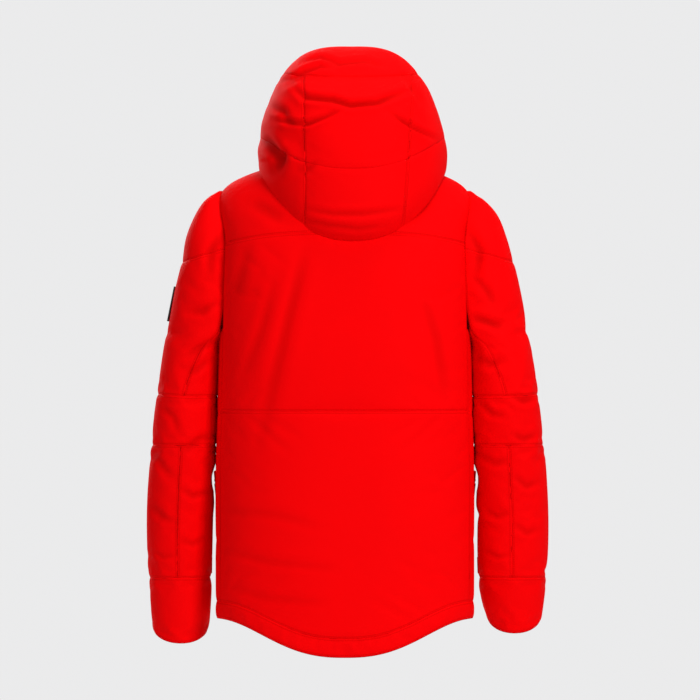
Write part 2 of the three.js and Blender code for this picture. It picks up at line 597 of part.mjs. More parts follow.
const HOOD_FOLD = 2.1; // ring step where the hood folds over the roll that stays round the neck
const FACE_HALF = 48; // degrees of the face opening either side of the front
const hoodWall = [-HOOD_WALL, 0];
const HOOD_PAD = HOOD_WALL + 5; // from the outer face to the hood's lining
const panelEdge = (v) => {
  const half = lerp(hoodRings[Math.floor(v)][0], hoodRings[Math.ceil(v)][0], v - Math.floor(v));
  return 90 - THREE.MathUtils.radToDeg(Math.asin(Math.min(1, (HOOD_PANEL / half) ** 1.2)));
};
const faceEdge = -90 + FACE_HALF;
const foldLevels = levels(HOOD_FOLD + 3 * seamRise, CROWN);
const centreEdges = [(v) => panelEdge(v) + seamTurn * 2, (v) => 180 - panelEdge(v) - seamTurn * 2];
const hood = new THREE.Group();
hood.add(
  named('hood_roll', panel(hoodSurface, [faceEdge, 180 - faceEdge], levels(HOOD_EDGE, HOOD_FOLD), hoodWall,
    [24, 5]), RED),
  named('hood_centre', panel(hoodSurface, centreEdges, foldLevels, hoodWall, [10, 6]), RED),
  named('hood_left', panel(hoodSurface, [faceEdge, (v) => panelEdge(v) - seamTurn * 2], foldLevels, hoodWall,
    [8, 6]), RED),
  named('hood_right', panel(hoodSurface, [(v) => 180 - panelEdge(v) + seamTurn * 2, 180 - faceEdge], foldLevels,
    hoodWall, [8, 6]), RED),
  named('hood_crown', crown(), RED),
  named('hood_lining', panel(hoodSurface, [faceEdge + 1, 179 - faceEdge], [HOOD_FOLD + 0.05, CROWN - 0.3],
    [-HOOD_PAD - LINING_WALL, -HOOD_PAD], [20, 6]), LINING),
);

// ---------- the whole jacket ----------

const standing = new THREE.Group();
const right = (part) => {
  part.scale.x = -1;
  return part;
};
const pocketRight = new THREE.Group();
pocketRight.add(handPocket('right'));
standing.add(body, bodySide('left'), right(bodySide('right')), collar, zip);
standing.add(bodyLining, hangerLoop, powderSkirt);
standing.add(pocketBag('left'), right(pocketBag('right')), handPocket('left'), right(pocketRight));
standing.add(sleeve('left'), right(sleeve('right')), badge, hood);
standing.position.set(0, -loopY, -loopZ);

const jacket = new THREE.Group();
jacket.add(standing);

export default jacket;
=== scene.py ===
"""An insulated ski jacket as worn: zipped up, hood up and arms hanging."""
import math

import bpy
import numpy as np
from mathutils import Matrix, Vector


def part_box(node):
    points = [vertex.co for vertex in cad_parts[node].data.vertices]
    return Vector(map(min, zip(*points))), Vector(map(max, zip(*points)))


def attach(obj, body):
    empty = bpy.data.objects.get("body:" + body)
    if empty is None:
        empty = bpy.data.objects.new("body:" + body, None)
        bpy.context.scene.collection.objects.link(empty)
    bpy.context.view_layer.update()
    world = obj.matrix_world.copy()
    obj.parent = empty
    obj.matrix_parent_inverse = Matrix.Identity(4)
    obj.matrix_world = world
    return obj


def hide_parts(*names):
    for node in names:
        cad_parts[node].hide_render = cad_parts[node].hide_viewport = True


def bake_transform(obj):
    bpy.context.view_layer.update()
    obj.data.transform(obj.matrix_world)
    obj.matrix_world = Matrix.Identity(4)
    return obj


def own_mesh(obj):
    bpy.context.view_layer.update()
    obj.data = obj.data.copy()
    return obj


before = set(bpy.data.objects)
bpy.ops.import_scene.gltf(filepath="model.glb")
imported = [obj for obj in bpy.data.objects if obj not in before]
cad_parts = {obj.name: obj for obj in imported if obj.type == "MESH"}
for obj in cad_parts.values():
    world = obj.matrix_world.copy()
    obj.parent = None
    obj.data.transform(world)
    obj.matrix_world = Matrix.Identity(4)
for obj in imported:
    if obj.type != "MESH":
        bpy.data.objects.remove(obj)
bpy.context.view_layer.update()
bpy.ops.object.select_all(action="DESELECT")

# ----------------------------------------------------------
# Set: a pale floor that fades into an even pale surround, broad soft lamps, and a camera level with the
# middle of the jacket's back, far enough away that its outline is nearly flat.
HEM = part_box("hem_band")[0][2]
LOOP_BACK = 0.046  # the hanger loop's bar stands this far behind the jacket's middle plane
MM = 0.001
EYE_LEVEL = 485.0  # millimetres above the tail of the hem
FLOOR = HEM - 0.26
AIM = Vector((-0.008, -LOOP_BACK, HEM + EYE_LEVEL * MM))
CAMERA_AWAY = 14.0
VIEW_WIDTH = 1.106  # across the picture, at the jacket
SENSOR = 0.036
PALE = (0.83, 0.83, 0.835)
SURROUND_LIGHT = 0.5  # of what the camera sees
FLOOR_SIZE, FADE_FROM, FADE_OVER = 9.0, 0.9, 1.3  # distances from the middle


class Link:
    """A shader socket that sums like a number; each sign adds its Math node."""

    def __init__(self, tree, socket):
        self.tree = tree
        self.socket = socket

    def _math(self, operation, *values):
        return self.tree.node("ShaderNodeMath", {"operation": operation}, dict(enumerate(values)))

    def __add__(self, other):
        return self._math("ADD", self, other)

    def __sub__(self, other):
        return self._math("SUBTRACT", self, other)

    def __mul__(self, other):
        return self._math("MULTIPLY", self, other)

    def __truediv__(self, other):
        return self._math("DIVIDE", self, other)

    def __rsub__(self, other):
        return self._math("SUBTRACT", other, self)

    __radd__ = __add__
    __rmul__ = __mul__

    def __lt__(self, other):
        return self._math("LESS_THAN", self, other)

    def __gt__(self, other):
        return self._math("GREATER_THAN", self, other)

    def __abs__(self):
        return self._math("ABSOLUTE", self)

    def wave(self, period):
        """Swings between -1 and 1, once in each period."""
        return self._math("SINE", self * (2 * math.pi / period))

    def part(self, name):
        return self.tree.node("ShaderNodeSeparateXYZ", {}, {"Vector": self}, name)


class Finish:
    """One material. node() adds a node with its settings first and then its sockets."""

    def __init__(self, name, colour, roughness, specular=0.2, metallic=0.0, sheen=0.0):
        self.material = bpy.data.materials.new(name)
        self.material.use_nodes = True
        self.nodes = self.material.node_tree
        self.shader = self.nodes.nodes["Principled BSDF"]
        colour = (*colour, 1.0)
        values = {"Base Color": colour, "Roughness": roughness, "Specular IOR Level": specular,
                  "Metallic": metallic, "Sheen Weight": sheen, "Sheen Roughness": 0.5, "Sheen Tint": colour}
        for key, value in values.items():
            self.set(key, value)

    def node(self, kind, settings, inputs, output=0):
        made = self.nodes.nodes.new(kind)
        for key, value in settings.items():
            setattr(made, key, value)
        for key, value in inputs.items():
            if isinstance(value, Link):
                self.nodes.links.new(value.socket, made.inputs[key])
            else:
                made.inputs[key].default_value = value
        return Link(self, made.outputs[output])

    def set(self, name, value):
        if isinstance(value, Link):
            self.nodes.links.new(value.socket, self.shader.inputs[name])
        else:
            self.shader.inputs[name].default_value = value

    def where(self):
        return self.node("ShaderNodeTexCoord", {}, {}, "Object")

    def uv(self, name):
        return self.node("ShaderNodeUVMap", {"uv_map": name}, {})

    def noise(self, scale, detail=3.0):
        inputs = {"Vector": self.where(), "Scale": scale, "Detail": detail}
        return self.node("ShaderNodeTexNoise", {}, inputs)

    def blend(self, share, low, high):
        """From the low colour to the high one as share goes from 0 to 1."""
        low, high = [c if isinstance(c, Link) else (*c, 1.0) for c in (low, high)]
        return self.node("ShaderNodeMix", {"data_type": "RGBA"}, {0: share, 6: low, 7: high}, 2)

    def bump(self, height, distance, strength):
        inputs = {"Height": height, "Distance": distance, "Strength": strength}
        self.set("Normal", self.node("ShaderNodeBump", {}, inputs))


def finish_of(piece, finish):
    piece.data.materials.clear()
    piece.data.materials.append(finish.material)


bpy.ops.mesh.primitive_circle_add(vertices=96, radius=FLOOR_SIZE, fill_type="NGON", location=(0, 0, FLOOR))
floor = bpy.context.object
floor.name = "floor"
bpy.ops.object.transform_apply()
floor_finish = Finish("floor_paint", PALE, 0.9, specular=0.05)
away = floor_finish.node("ShaderNodeVectorMath", {"operation": "LENGTH"}, {0: floor_finish.where()}, "Value")
fade = floor_finish.node("ShaderNodeClamp", {}, {"Value": (FADE_FROM + FADE_OVER - away) / FADE_OVER})
floor_finish.set("Alpha", fade)
finish_of(floor, floor_finish)

surround = bpy.data.worlds.new("surround")
surround.use_nodes = True
bpy.context.scene.world = surround
seen = surround.node_tree.nodes["Background"]
seen.inputs["Color"].default_value = (*PALE, 1.0)
light_path = surround.node_tree.nodes.new("ShaderNodeLightPath")
strength = surround.node_tree.nodes.new("ShaderNodeMapRange")
strength.inputs["To Min"].default_value, strength.inputs["To Max"].default_value = SURROUND_LIGHT, 1.0
surround.node_tree.links.new(light_path.outputs["Is Camera Ray"], strength.inputs["Value"])
surround.node_tree.links.new(strength.outputs["Result"], seen.inputs["Strength"])
bpy.context.scene.view_settings.view_transform = "Standard"


def lamp(name, place, size, watts):
    bpy.ops.object.light_add(type="AREA", location=place)
    made = bpy.context.object
    made.name = name
    made.data.size = size
    made.data.energy = watts
    made.rotation_euler = (AIM - Vector(place)).to_track_quat("-Z", "Y").to_euler()


lamp("lamp_back_right", (-2.0, 3.4, 1.1), 1.0, 112)
lamp("lamp_back_left", (2.8, 2.4, 0.8), 2.0, 14)
lamp("lamp_front", (1.4, -3.2, 1.0), 1.5, 74)
lamp("lamp_top", (-0.4, 0.3, 2.4), 1.2, 30)

bpy.ops.object.camera_add(location=AIM + Vector((0, CAMERA_AWAY, 0)), rotation=(math.pi / 2, 0, math.pi))
camera = bpy.context.object
camera.data.sensor_width = SENSOR * 1000
camera.data.lens = SENSOR * 1000 * CAMERA_AWAY / VIEW_WIDTH
camera.data.clip_end = 60
bpy.context.scene.camera = camera

# ----------------------------------------------------------
# Outer fabric: a closely woven, matt, water-shedding cloth over light padding. Every seam is stitched
# again a few millimetres from its edge, with thread a little darker than the cloth.
RED = (0.9, 0.0, 0.001)
SHADE_RED = (0.84, 0.0, 0.001)
THREAD_RED = (0.72, 0.0, 0.0)
# Painted shade: the darker red that pressed folds and the thin lines along seams are coloured toward
PAINTED_SHADE_RED = (0.56, 0.0, 0.0)
STITCH_AWAY = 3.5  # millimetres from the seam
STITCH_LONG, STITCH_WIDE = 0.0036, 0.0007
WEAVE_STEP = 0.0011
# Width of the painted shade line along each seam
SEAM_LINE = 0.0007


def outer_fabric(name):
    cloth = Finish(name, RED, 0.72, specular=0.025)
    weave = cloth.uv("weave")
    across, up = weave.part("X"), weave.part("Y")
    seam = cloth.uv("seam")
    beside, beyond = seam.part("X"), seam.part("Y")
    on_side = (abs(beside - STITCH_AWAY * MM) < STITCH_WIDE) * (up.wave(STITCH_LONG) > -0.6)
    on_end = (abs(beyond - STITCH_AWAY * MM) < STITCH_WIDE) * (across.wave(STITCH_LONG) > -0.6)
    thread = cloth.node("ShaderNodeMath", {"operation": "MAXIMUM"}, {0: on_side, 1: on_end})
    joint_line = cloth.node("ShaderNodeMath", {"operation": "MINIMUM"}, {0: beside, 1: beyond})
    mottle = cloth.noise(9.0)
    # Painted shade: the cloth is coloured darker the deeper its fold, read from the fold map; the mottle is
    # random tone
    mottle_and_fold_shade = cloth.blend(cloth.uv("fold").part("X"), cloth.blend(mottle, SHADE_RED, RED), PAINTED_SHADE_RED)
    # Painted shade: a thin dark line painted along each seam, where the panels tuck in
    shaded = cloth.blend(joint_line < SEAM_LINE, mottle_and_fold_shade, PAINTED_SHADE_RED)
    cloth.set("Base Color", cloth.blend(thread, shaded, THREAD_RED))
    cloth.set("Roughness", mottle * 0.12 + 0.66)
    threads = across.wave(WEAVE_STEP) * up.wave(WEAVE_STEP)
    cloth.bump(threads * 0.22 + cloth.noise(55.0, 2.0) * 1.2 + thread * 1.6, 0.00035, 0.6)
    return cloth


shell_cloth = outer_fabric("shell_fabric")

# ----------------------------------------------------------
# Body: yoke, upper and lower back, two fronts with their yokes, side panels and a hem band, each a padded
# panel sewn to its neighbours so that its edges pull in. Sizes are millimetres above the tail of the hem.
BACK_LENGTH, NECK_SIDE, NECK_FRONT = 792.0, 788, 757.0  # heights of the neck seam
NECK_HALF, NECK_BACK = 82, 67
SEAM_TUCK = 0.7  # how far a panel's edge pulls in
SEAM_ROLL = 7.0  # how far from the seam the panel is round
STITCH_DIP, STITCH_DIP_WIDE = 0.25, 1.6  # the furrow along the stitches
CELL = 6.0  # spacing of the cloth's points
PADDING = 4.0
FOLD_FULL = 4.0  # a fold this deep gets the full painted shade
EDGE_TRIM = 1.1  # what rounding an edge takes off it
SAMPLES = 160  # points along a line whose length is wanted
PRESSURE, BEND_STIFF, SETTLE_FRAMES = 4.0, 0.4, 16


def to_frame(points):
    """Millimetres above the tail and from the middle plane, into the frame's metres."""
    return points * MM + np.array((0.0, -LOOP_BACK, HEM))


def power_curve(angle, half_x, half_y, power):
    c, s = np.cos(angle), np.sin(angle)
    bulge = 2 / power
    return half_x * np.sign(c) * np.abs(c) ** bulge, half_y * np.sign(s) * np.abs(s) ** bulge


def square_to(skin, u, v, du, dv):
    """The outward normal of a surface, from points a little way to each side."""
    across = skin.smooth(u + du, v) - skin.smooth(u - du, v)
    up = skin.smooth(u, v + dv) - skin.smooth(u, v - dv)
    normal = np.cross(across, up)
    return normal / np.maximum(np.linalg.norm(normal, axis=-1, keepdims=True), 1e-9)


class Skin:
    """A smooth surface through rings; each ring gives its points for an array of angles in degrees."""

    def __init__(self, rings, folds=()):
        self.rings = rings
        self.folds = folds
        around = np.linspace(-170, 180, 36)
        points = [ring(around) for ring in rings]
        steps = [np.mean(np.linalg.norm(b - a, axis=1)) for a, b in zip(points, points[1:])]
        self.reach = np.concatenate([[0.0], np.cumsum(steps)])

    def smooth(self, angle, step):
        """Points at angles (degrees) and ring steps, both arrays of one shape."""
        ends = [ring(angle) for ring in self.rings]
        last = len(ends) - 1
        slopes = []
        for i in range(last + 1):
            low, high = max(i - 1, 0), min(i + 1, last)
            slopes.append((ends[high] - ends[low]) / (self.reach[high] - self.reach[low]))
        out = np.zeros_like(ends[0])
        for i in range(last):
            here = (np.clip(np.floor(step), 0, last - 1) == i)[..., None]
            t = (step - i)[..., None]
            span = self.reach[i + 1] - self.reach[i]
            curve = ((2 * t**3 - 3 * t**2 + 1) * ends[i] + (3 * t**2 - 2 * t**3) * ends[i + 1]
                     + span * ((t**3 - 2 * t**2 + t) * slopes[i] + (t**3 - t**2) * slopes[i + 1]))
            out = np.where(here, curve, out)
        return out

    def outward(self, angle, step):
        return square_to(self, angle, step, 0.5, 0.02)


def crease_depth(points, folds):
    """How far the cloth is pushed in (or out) by its folds. Each fold lies on the back (side 1) or the
    front (side -1), with its depth and half width, and a line of x, z points on the middle plane as
    they line up for an onlooker behind the jacket."""
    push = np.zeros(points.shape[:-1])
    eye = np.array((0.0, EYE_LEVEL))
    flat = eye + (points[..., (0, 2)] - eye) / (1 - points[..., 1:2] / (CAMERA_AWAY / MM))
    for side, depth, width, line in folds:
        nearest = np.full(push.shape, 1e9)
        along = np.zeros(push.shape)
        for i, (a, b) in enumerate(zip(line, line[1:])):
            a, b = np.array(a, float), np.array(b, float)
            share = np.clip(((flat - a) @ (b - a)) / ((b - a) @ (b - a)), 0, 1)
            gap = np.linalg.norm(flat - (a + share[..., None] * (b - a)), axis=-1)
            along = np.where(gap < nearest, (i + share) / (len(line) - 1), along)
            nearest = np.minimum(nearest, gap)
        fade = np.sin(np.pi * np.clip(along, 0.02, 0.98)) ** 0.6
        facing = np.clip(points[..., 1] * side / 30 + 0.5, 0, 1)
        ridge = 0.45 * np.exp(-(((nearest - 1.9 * width) / width) ** 2))
        push += depth * fade * facing * (np.exp(-((nearest / width) ** 2)) - ridge)
    return push


def evenly(length_at, low, high, count):
    """Values from low to high that step equal lengths along a line of points."""
    fine = np.linspace(low, high, SAMPLES)
    points = length_at(fine)
    run = np.concatenate([[0.0], np.cumsum(np.linalg.norm(np.diff(points, axis=0), axis=1))])
    return np.interp(np.linspace(0, run[-1], count), run, fine), run[-1]


def values_of(rows, name, wide=1, kind=float):
    """One property of a mesh's vertices, corners or attribute, a row for each."""
    values = np.empty(len(rows) * wide, kind)
    rows.foreach_get(name, values)
    return values.reshape(-1, wide) if wide > 1 else values


def sewn_panel(name, skin, sides, ends, sewn=(1, 1, 1, 1), closed=False, cell=CELL, tuck=SEAM_TUCK, out=0.0):
    """A grid of cloth bent onto a skin. sides are its edges' angles (numbers or functions of the ring
    step), ends its ring steps, and sewn says which of its four edges are pulled in: the two sides, then
    the bottom and the top. out is how far it lies off the skin."""
    side = [s if callable(s) else (lambda step, s=s: np.full(np.shape(step), float(s))) for s in sides]
    middle = lambda step: 0.5 * (side[0](step) + side[1](step))
    rough = skin.smooth(middle(np.linspace(*ends, 60)), np.linspace(*ends, 60))
    tall = np.linalg.norm(np.diff(rough, axis=0), axis=1).sum()
    rows = max(int(tall / cell), 2) + 1
    steps, _ = evenly(lambda v: skin.smooth(middle(v), v), *ends, rows)
    mid = np.full(SAMPLES, 0.5 * (ends[0] + ends[1]))
    lows, highs = side[0](steps), side[1](steps)
    _, wide = evenly(lambda u: skin.smooth(u, mid), lows.mean(), highs.mean(), 2)
    columns = max(int(wide / cell), 3) + 1
    angle = np.stack([evenly(lambda u: skin.smooth(u, np.full(SAMPLES, v)), a, b, columns)[0]
                      for v, a, b in zip(steps, lows, highs)])
    step = np.repeat(steps[:, None], columns, axis=1)
    points = skin.smooth(angle, step)
    normal = skin.outward(angle, step)
    across = np.linalg.norm(np.diff(points, axis=1), axis=2)
    up = np.linalg.norm(np.diff(points, axis=0), axis=2)
    run = np.concatenate([np.zeros((rows, 1)), np.cumsum(across, axis=1)], axis=1)
    rise = np.concatenate([np.zeros((1, columns)), np.cumsum(up, axis=0)], axis=0)
    edges = [run, run[:, -1:] - run, rise, rise[-1:] - rise]
    far = np.full(points.shape[:2], 1e3)
    beside = [np.where(flag, gap, far) for flag, gap in zip(sewn, edges)]
    nearest = np.minimum.reduce(beside)
    pull = (tuck * (1 - np.clip(nearest / SEAM_ROLL, 0, 1)) ** 2.2
            + STITCH_DIP * np.exp(-(((nearest - STITCH_AWAY) / STITCH_DIP_WIDE) ** 2)))
    push = out - pull
    points = points + normal * push[..., None]
    whole = slice(None)
    for edge, next_in in (((whole, 0), (whole, 1)), ((whole, -1), (whole, -2)), (0, 1), (-1, -2)):
        away = points[edge] - points[next_in]
        points[edge] += EDGE_TRIM * away / np.maximum(np.linalg.norm(away, axis=-1, keepdims=True), 0.1)
    points = to_frame(points)
    bpy.ops.mesh.primitive_grid_add(x_subdivisions=columns - 1, y_subdivisions=rows - 1, size=1)
    piece = bpy.context.object
    piece.name = piece.data.name = name
    piece.data.vertices.foreach_set("co", points.reshape(-1, 3).ravel())
    centre = 0.5 * (run + (run - run[:, -1:]))
    weave = np.stack([centre, rise], axis=-1).reshape(-1, 2) * MM
    seam = np.stack([np.minimum(beside[0], beside[1]), np.minimum(beside[2], beside[3])], axis=-1)
    corners = values_of(piece.data.loops, "vertex_index", kind=int)
    for layer, values in (("weave", weave), ("seam", seam.reshape(-1, 2) * MM)):
        piece.data.uv_layers.new(name=layer).data.foreach_set("uv", values[corners].ravel())
    piece.data.uv_layers.remove(piece.data.uv_layers["UVMap"])
    outward = piece.data.attributes.new("outward", "FLOAT_VECTOR", "POINT")
    outward.data.foreach_set("vector", normal.ravel())
    held = piece.vertex_groups.new(name="held")
    rim = np.minimum.reduce(edges if not closed else edges[2:]).ravel()
    for index in np.nonzero(rim < 0.6 * cell)[0]:
        held.add([int(index)], 1.0, "REPLACE")
    if closed:
        bpy.ops.object.mode_set(mode="EDIT")
        bpy.ops.mesh.select_all(action="SELECT")
        bpy.ops.mesh.remove_doubles(threshold=0.2 * MM)
        bpy.ops.object.mode_set(mode="OBJECT")
    return piece


def fill_out(piece, spare, cap):
    """Lets the panel's cloth, cut a little too large between its seams, billow and pucker, and keeps each
    point within cap millimetres of where it began."""
    start = values_of(piece.data.vertices, "co", 3)
    cloth = piece.modifiers.new("cloth", "CLOTH")
    cloth.settings.quality = 5
    cloth.settings.mass = 0.25
    cloth.settings.tension_stiffness = cloth.settings.compression_stiffness = 18
    cloth.settings.shear_stiffness = 6
    cloth.settings.bending_stiffness = BEND_STIFF
    cloth.settings.air_damping = 3
    cloth.settings.use_pressure = True
    cloth.settings.uniform_pressure_force = PRESSURE
    cloth.settings.shrink_min = -spare
    cloth.settings.vertex_group_mass = "held"
    cloth.settings.effector_weights.gravity = 0
    cloth.point_cache.frame_start, cloth.point_cache.frame_end = 1, SETTLE_FRAMES
    for moment in range(1, SETTLE_FRAMES + 1):
        bpy.context.scene.frame_set(moment)
    settled = piece.evaluated_get(bpy.context.evaluated_depsgraph_get())
    move = values_of(settled.data.vertices, "co", 3) - start
    piece.modifiers.remove(cloth)
    bpy.context.scene.frame_set(1)
    size = np.maximum(np.linalg.norm(move, axis=1, keepdims=True), 1e-9)
    limit = cap * MM
    piece.data.vertices.foreach_set("co", (start + move * np.tanh(size / limit) * limit / size).ravel())


def apply_modifiers(piece):
    bpy.context.view_layer.objects.active = piece
    for modifier in list(piece.modifiers):
        bpy.ops.object.modifier_apply(modifier=modifier.name)


def smooth(piece):
    bpy.ops.object.select_all(action="DESELECT")
    piece.select_set(True)
    bpy.ops.object.shade_smooth()


def pad(piece, thick):
    """Gives the panel its padding, inwards from the outer face, and rounds its edges."""
    wall = piece.modifiers.new("wall", "SOLIDIFY")
    wall.thickness = thick * MM
    wall.offset = -1
    wall.edge_crease_outer = 1.0
    rounding = piece.modifiers.new("round", "SUBSURF")
    rounding.levels = rounding.render_levels = 1
    apply_modifiers(piece)
    smooth(piece)
    finish_of(piece, shell_cloth)


def press_folds(piece, folds):
    """Presses the folds into both faces of a finished panel, and stores their depth for the finish to paint
    shade into them.
    """
    points = values_of(piece.data.vertices, "co", 3)
    outward = values_of(piece.data.attributes["outward"].data, "vector", 3)
    depth = crease_depth((points - to_frame(np.zeros(3))) / MM, folds)
    piece.data.vertices.foreach_set("co", (points - outward * depth[:, None] * MM).ravel())
    corners = values_of(piece.data.loops, "vertex_index", kind=int)
    # Painted shade: the fold's depth, kept for the finish to darken the cloth in the crease
    shade = np.clip(depth / FOLD_FULL, 0, 1)[corners]
    piece.data.uv_layers.new(name="fold").data.foreach_set("uv", np.stack([shade, shade], axis=-1).ravel())


def garment_panel(name, skin, sides, ends, spare, cap, fill=0.4, thick=PADDING, **cut):
    """A padded panel; spare is the share by which its cloth is cut too large."""
    piece = sewn_panel(name, skin, sides, ends, **cut)
    fill_out(piece, spare, cap)
    pad(piece, thick)
    press_folds(piece, skin.folds)
    piece.data.attributes.remove(piece.data.attributes["outward"])
    return piece


def fasten(piece, body, *nodes):
    """The piece moves with a body and stands for its CAD nodes."""
    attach(piece, body)
    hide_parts(*nodes)


ZIP_LOW, ZIP_HIGH = (48.0, 146.0), (828.0, 100.0)  # height and depth in front of the middle plane
FRONT_EDGE = 13.6  # the fronts stop this far from the middle of the zip


def front_depth(height):
    share = (height - ZIP_LOW[0]) / (ZIP_HIGH[0] - ZIP_LOW[0])
    return ZIP_LOW[1] + share * (ZIP_HIGH[1] - ZIP_LOW[1])


def body_ring(half, back, power, side, rear, fore, peak=2.0):
    """Half width, depth behind the middle plane, squareness, and heights at the side, back and front."""
    def ring(angle):
        a = np.radians(angle)
        s = np.sin(a)
        height = side + (np.where(s > 0, rear, fore) - side) * np.abs(s) ** peak
        x, y = power_curve(a, half, np.where(s > 0, back, front_depth(height)), power)
        return np.stack([x, y, height], axis=-1)
    return ring


HEM_EDGE, HEM_SEAM, HIP, WAIST, MIDDLE, ARMPIT, YOKE, SHOULDER, NECK = range(9)
body_folds = [
    (1, 2.2, 11, ((62, 640), (88, 540), (136, 330))),
    (1, 1.8, 9, ((108, 600), (130, 520), (160, 440))),
    (1, 1.6, 9, ((152, 648), (166, 600), (176, 560))),
    (1, 1.6, 10, ((-124, 570), (-146, 500), (-160, 410))),
    (1, 1.0, 8, ((206, 172), (120, 150), (10, 138))),
    (1, 0.9, 9, ((190, 232), (110, 224), (40, 206))),
    (1, 0.9, 8, ((190, 112), (120, 92), (30, 84))),
    (1, 2.2, 11, ((150, 720), (122, 706), (96, 690))),
    (1, 2.0, 11, ((-140, 724), (-118, 706), (-100, 688))),
    (-1, 2.4, 12, ((60, 640), (96, 540), (150, 420))),
    (-1, 2.4, 12, ((-70, 640), (-102, 520), (-150, 400))),
    (-1, 1.6, 10, ((40, 300), (90, 280), (150, 300))),
    (-1, 1.6, 10, ((-40, 250), (-100, 240), (-160, 262))),
]
body_skin = Skin([
    body_ring(203, 132, 2.5, 63, 4, 46, peak=4.5),
    body_ring(203, 134, 2.5, 89, 33, 74, peak=5.0),
    body_ring(203, 140, 2.6, 180, 165, 180),
    body_ring(203, 144, 2.7, 295, 289, 295),
    body_ring(200.5, 146, 2.8, 389, 389, 389),
    body_ring(198, 146, 3.0, 517, 517, 517),
    body_ring(194, 134, 3.0, 650, 669, 652),
    body_ring(193, 106, 1.8, 738, 741, 716),
    body_ring(NECK_HALF, NECK_BACK, 2.0, NECK_SIDE, BACK_LENGTH, NECK_FRONT),
], body_folds)
ARMHOLE_SPREAD = 16.0  # degrees either side of the body's side line


def arm_edge(step):
    above = np.clip(np.asarray(step, float) - YOKE, 0, 1)
    return ARMHOLE_SPREAD * np.sqrt(1 - above**2)


def front_edge_of(skin):
    """The angle at which a skin's left front comes up to the zip, as a function of the ring step."""
    def edge(step):
        step = np.asarray(step, float)
        low, high = np.full(step.shape, -90.0), np.full(step.shape, -10.0)
        for _ in range(22):
            middle = (low + high) / 2
            short = skin.smooth(middle, step)[..., 0] < FRONT_EDGE
            low, high = np.where(short, middle, low), np.where(short, high, middle)
        return high
    return edge


front_edge = front_edge_of(body_skin)


def other_side(edge):
    return lambda step: 180 - edge(step)


def negative(edge):
    return lambda step: -edge(step)


back_sides = (arm_edge, other_side(arm_edge))
left_sides = (front_edge, negative(arm_edge))
right_sides = (lambda v: 180 + arm_edge(v), other_side(front_edge))
for name, node, sides, ends, spare, cap in (
    ("lower_back", "back_lower", back_sides, (HEM_SEAM, MIDDLE), 0.004, 4),
    ("upper_back", "back_upper", back_sides, (MIDDLE, YOKE), 0.004, 4),
    ("yoke_back", "back_yoke", back_sides, (YOKE, NECK), 0.003, 3),
    ("front_left", "left_front", left_sides, (HEM_SEAM, YOKE), 0.01, 8),
    ("front_right", "right_front", right_sides, (HEM_SEAM, YOKE), 0.01, 8),
    ("front_yoke_left", "left_front_yoke", left_sides, (YOKE, NECK), 0.008, 7),
    ("front_yoke_right", "right_front_yoke", right_sides, (YOKE, NECK), 0.008, 7),
    ("side_left", "left_side_panel", (-ARMHOLE_SPREAD, ARMHOLE_SPREAD), (HEM_SEAM, ARMPIT), 0.004, 1.5),
    ("side_right", "right_side_panel", (180 - ARMHOLE_SPREAD, 180 + ARMHOLE_SPREAD), (HEM_SEAM, ARMPIT),
     0.004, 1.5),
):
    fasten(garment_panel(name, body_skin, sides, ends, spare, cap), "torso", node)
hem = garment_panel("hem_channel", body_skin, (front_edge, other_side(front_edge)), (HEM_EDGE, HEM_SEAM),
                    0.02, 3, fill=0.3, cell=5.0)
fasten(hem, "torso", "hem_band")

# ----------------------------------------------------------
# Sleeves: each has a head that caps the shoulder, an upper sleeve in two panels, a ring at the elbow, a
# forearm in two panels and a cuff.
# The forearm panels and the cuff move with the forearm and the strap with its tab; the head, upper sleeve and
# elbow ring stay where they are made.
CUFF_END, CUFF_SEAM, WRIST, FOREARM, ELBOW, BICEP, UNDERARM, DELTOID, HEAD_SEAM = range(9)
HEAD_TOP = 12
SHOULDER_POINT = 736.5
ARM_BEND = Vector((0.92, 0.0, -0.39))  # across the armhole, outwards and down
ARMHOLE_TUCK = 14.0  # the sleeve's inner face, under the body's edge


def armhole_at(heights):
    """The body's armhole edge at given heights: x, y at the back and y at the front."""
    step = np.linspace(ARMPIT, SHOULDER, 200)
    back = body_skin.smooth(arm_edge(step), step)
    fore = body_skin.smooth(-arm_edge(step), step)
    x = np.interp(heights, back[:, 2], back[:, 0])
    return x, np.interp(heights, back[:, 2], back[:, 1]), np.interp(heights, fore[:, 2], fore[:, 1])


def sleeve_ring(height, seam, inner, outer, back, fore, middle=0.0, tilt=0.0, swell=0.0):
    """Heights and widths in millimetres; the outer point hangs tilt lower, and the sides swell."""
    def ring(angle):
        a = np.radians(angle)
        out = np.cos(a) > 0
        half = np.where(out, outer - seam, seam - inner)
        x, y = power_curve(a, half, np.where(np.sin(a) > 0, back, fore), 2.2)
        y = y + swell * np.where(out, np.sin(2 * a), 0)
        z = np.full(x.shape, float(height)) - tilt * np.maximum(np.cos(a), 0)
        return np.stack([seam + x, middle + y, z], axis=-1)
    return ring


def upper_ring(height, outer, tilt, swell):
    """A ring whose open side lies on the body's armhole."""
    seam, back, fore = (float(v) for v in armhole_at(height))
    return sleeve_ring(height, seam, seam - ARMHOLE_TUCK, outer, back, -fore, tilt=tilt, swell=swell)


def mirrored(ring):
    return lambda angle: ring(180 - angle) * np.array((-1.0, 1.0, 1.0))


def cuff_ring(side, rear, fore, seam, inner, outer):
    """The cuff's end, lower at the back than at its sides: heights there and in front, then widths."""
    flat = sleeve_ring(0, seam, inner, outer, 48, 48, -50)

    def ring(angle):
        s = np.sin(np.radians(angle))
        points = flat(angle)
        points[..., 2] = side + (np.where(s > 0, rear, fore) - side) * np.abs(s) ** 1.4
        return points
    return ring


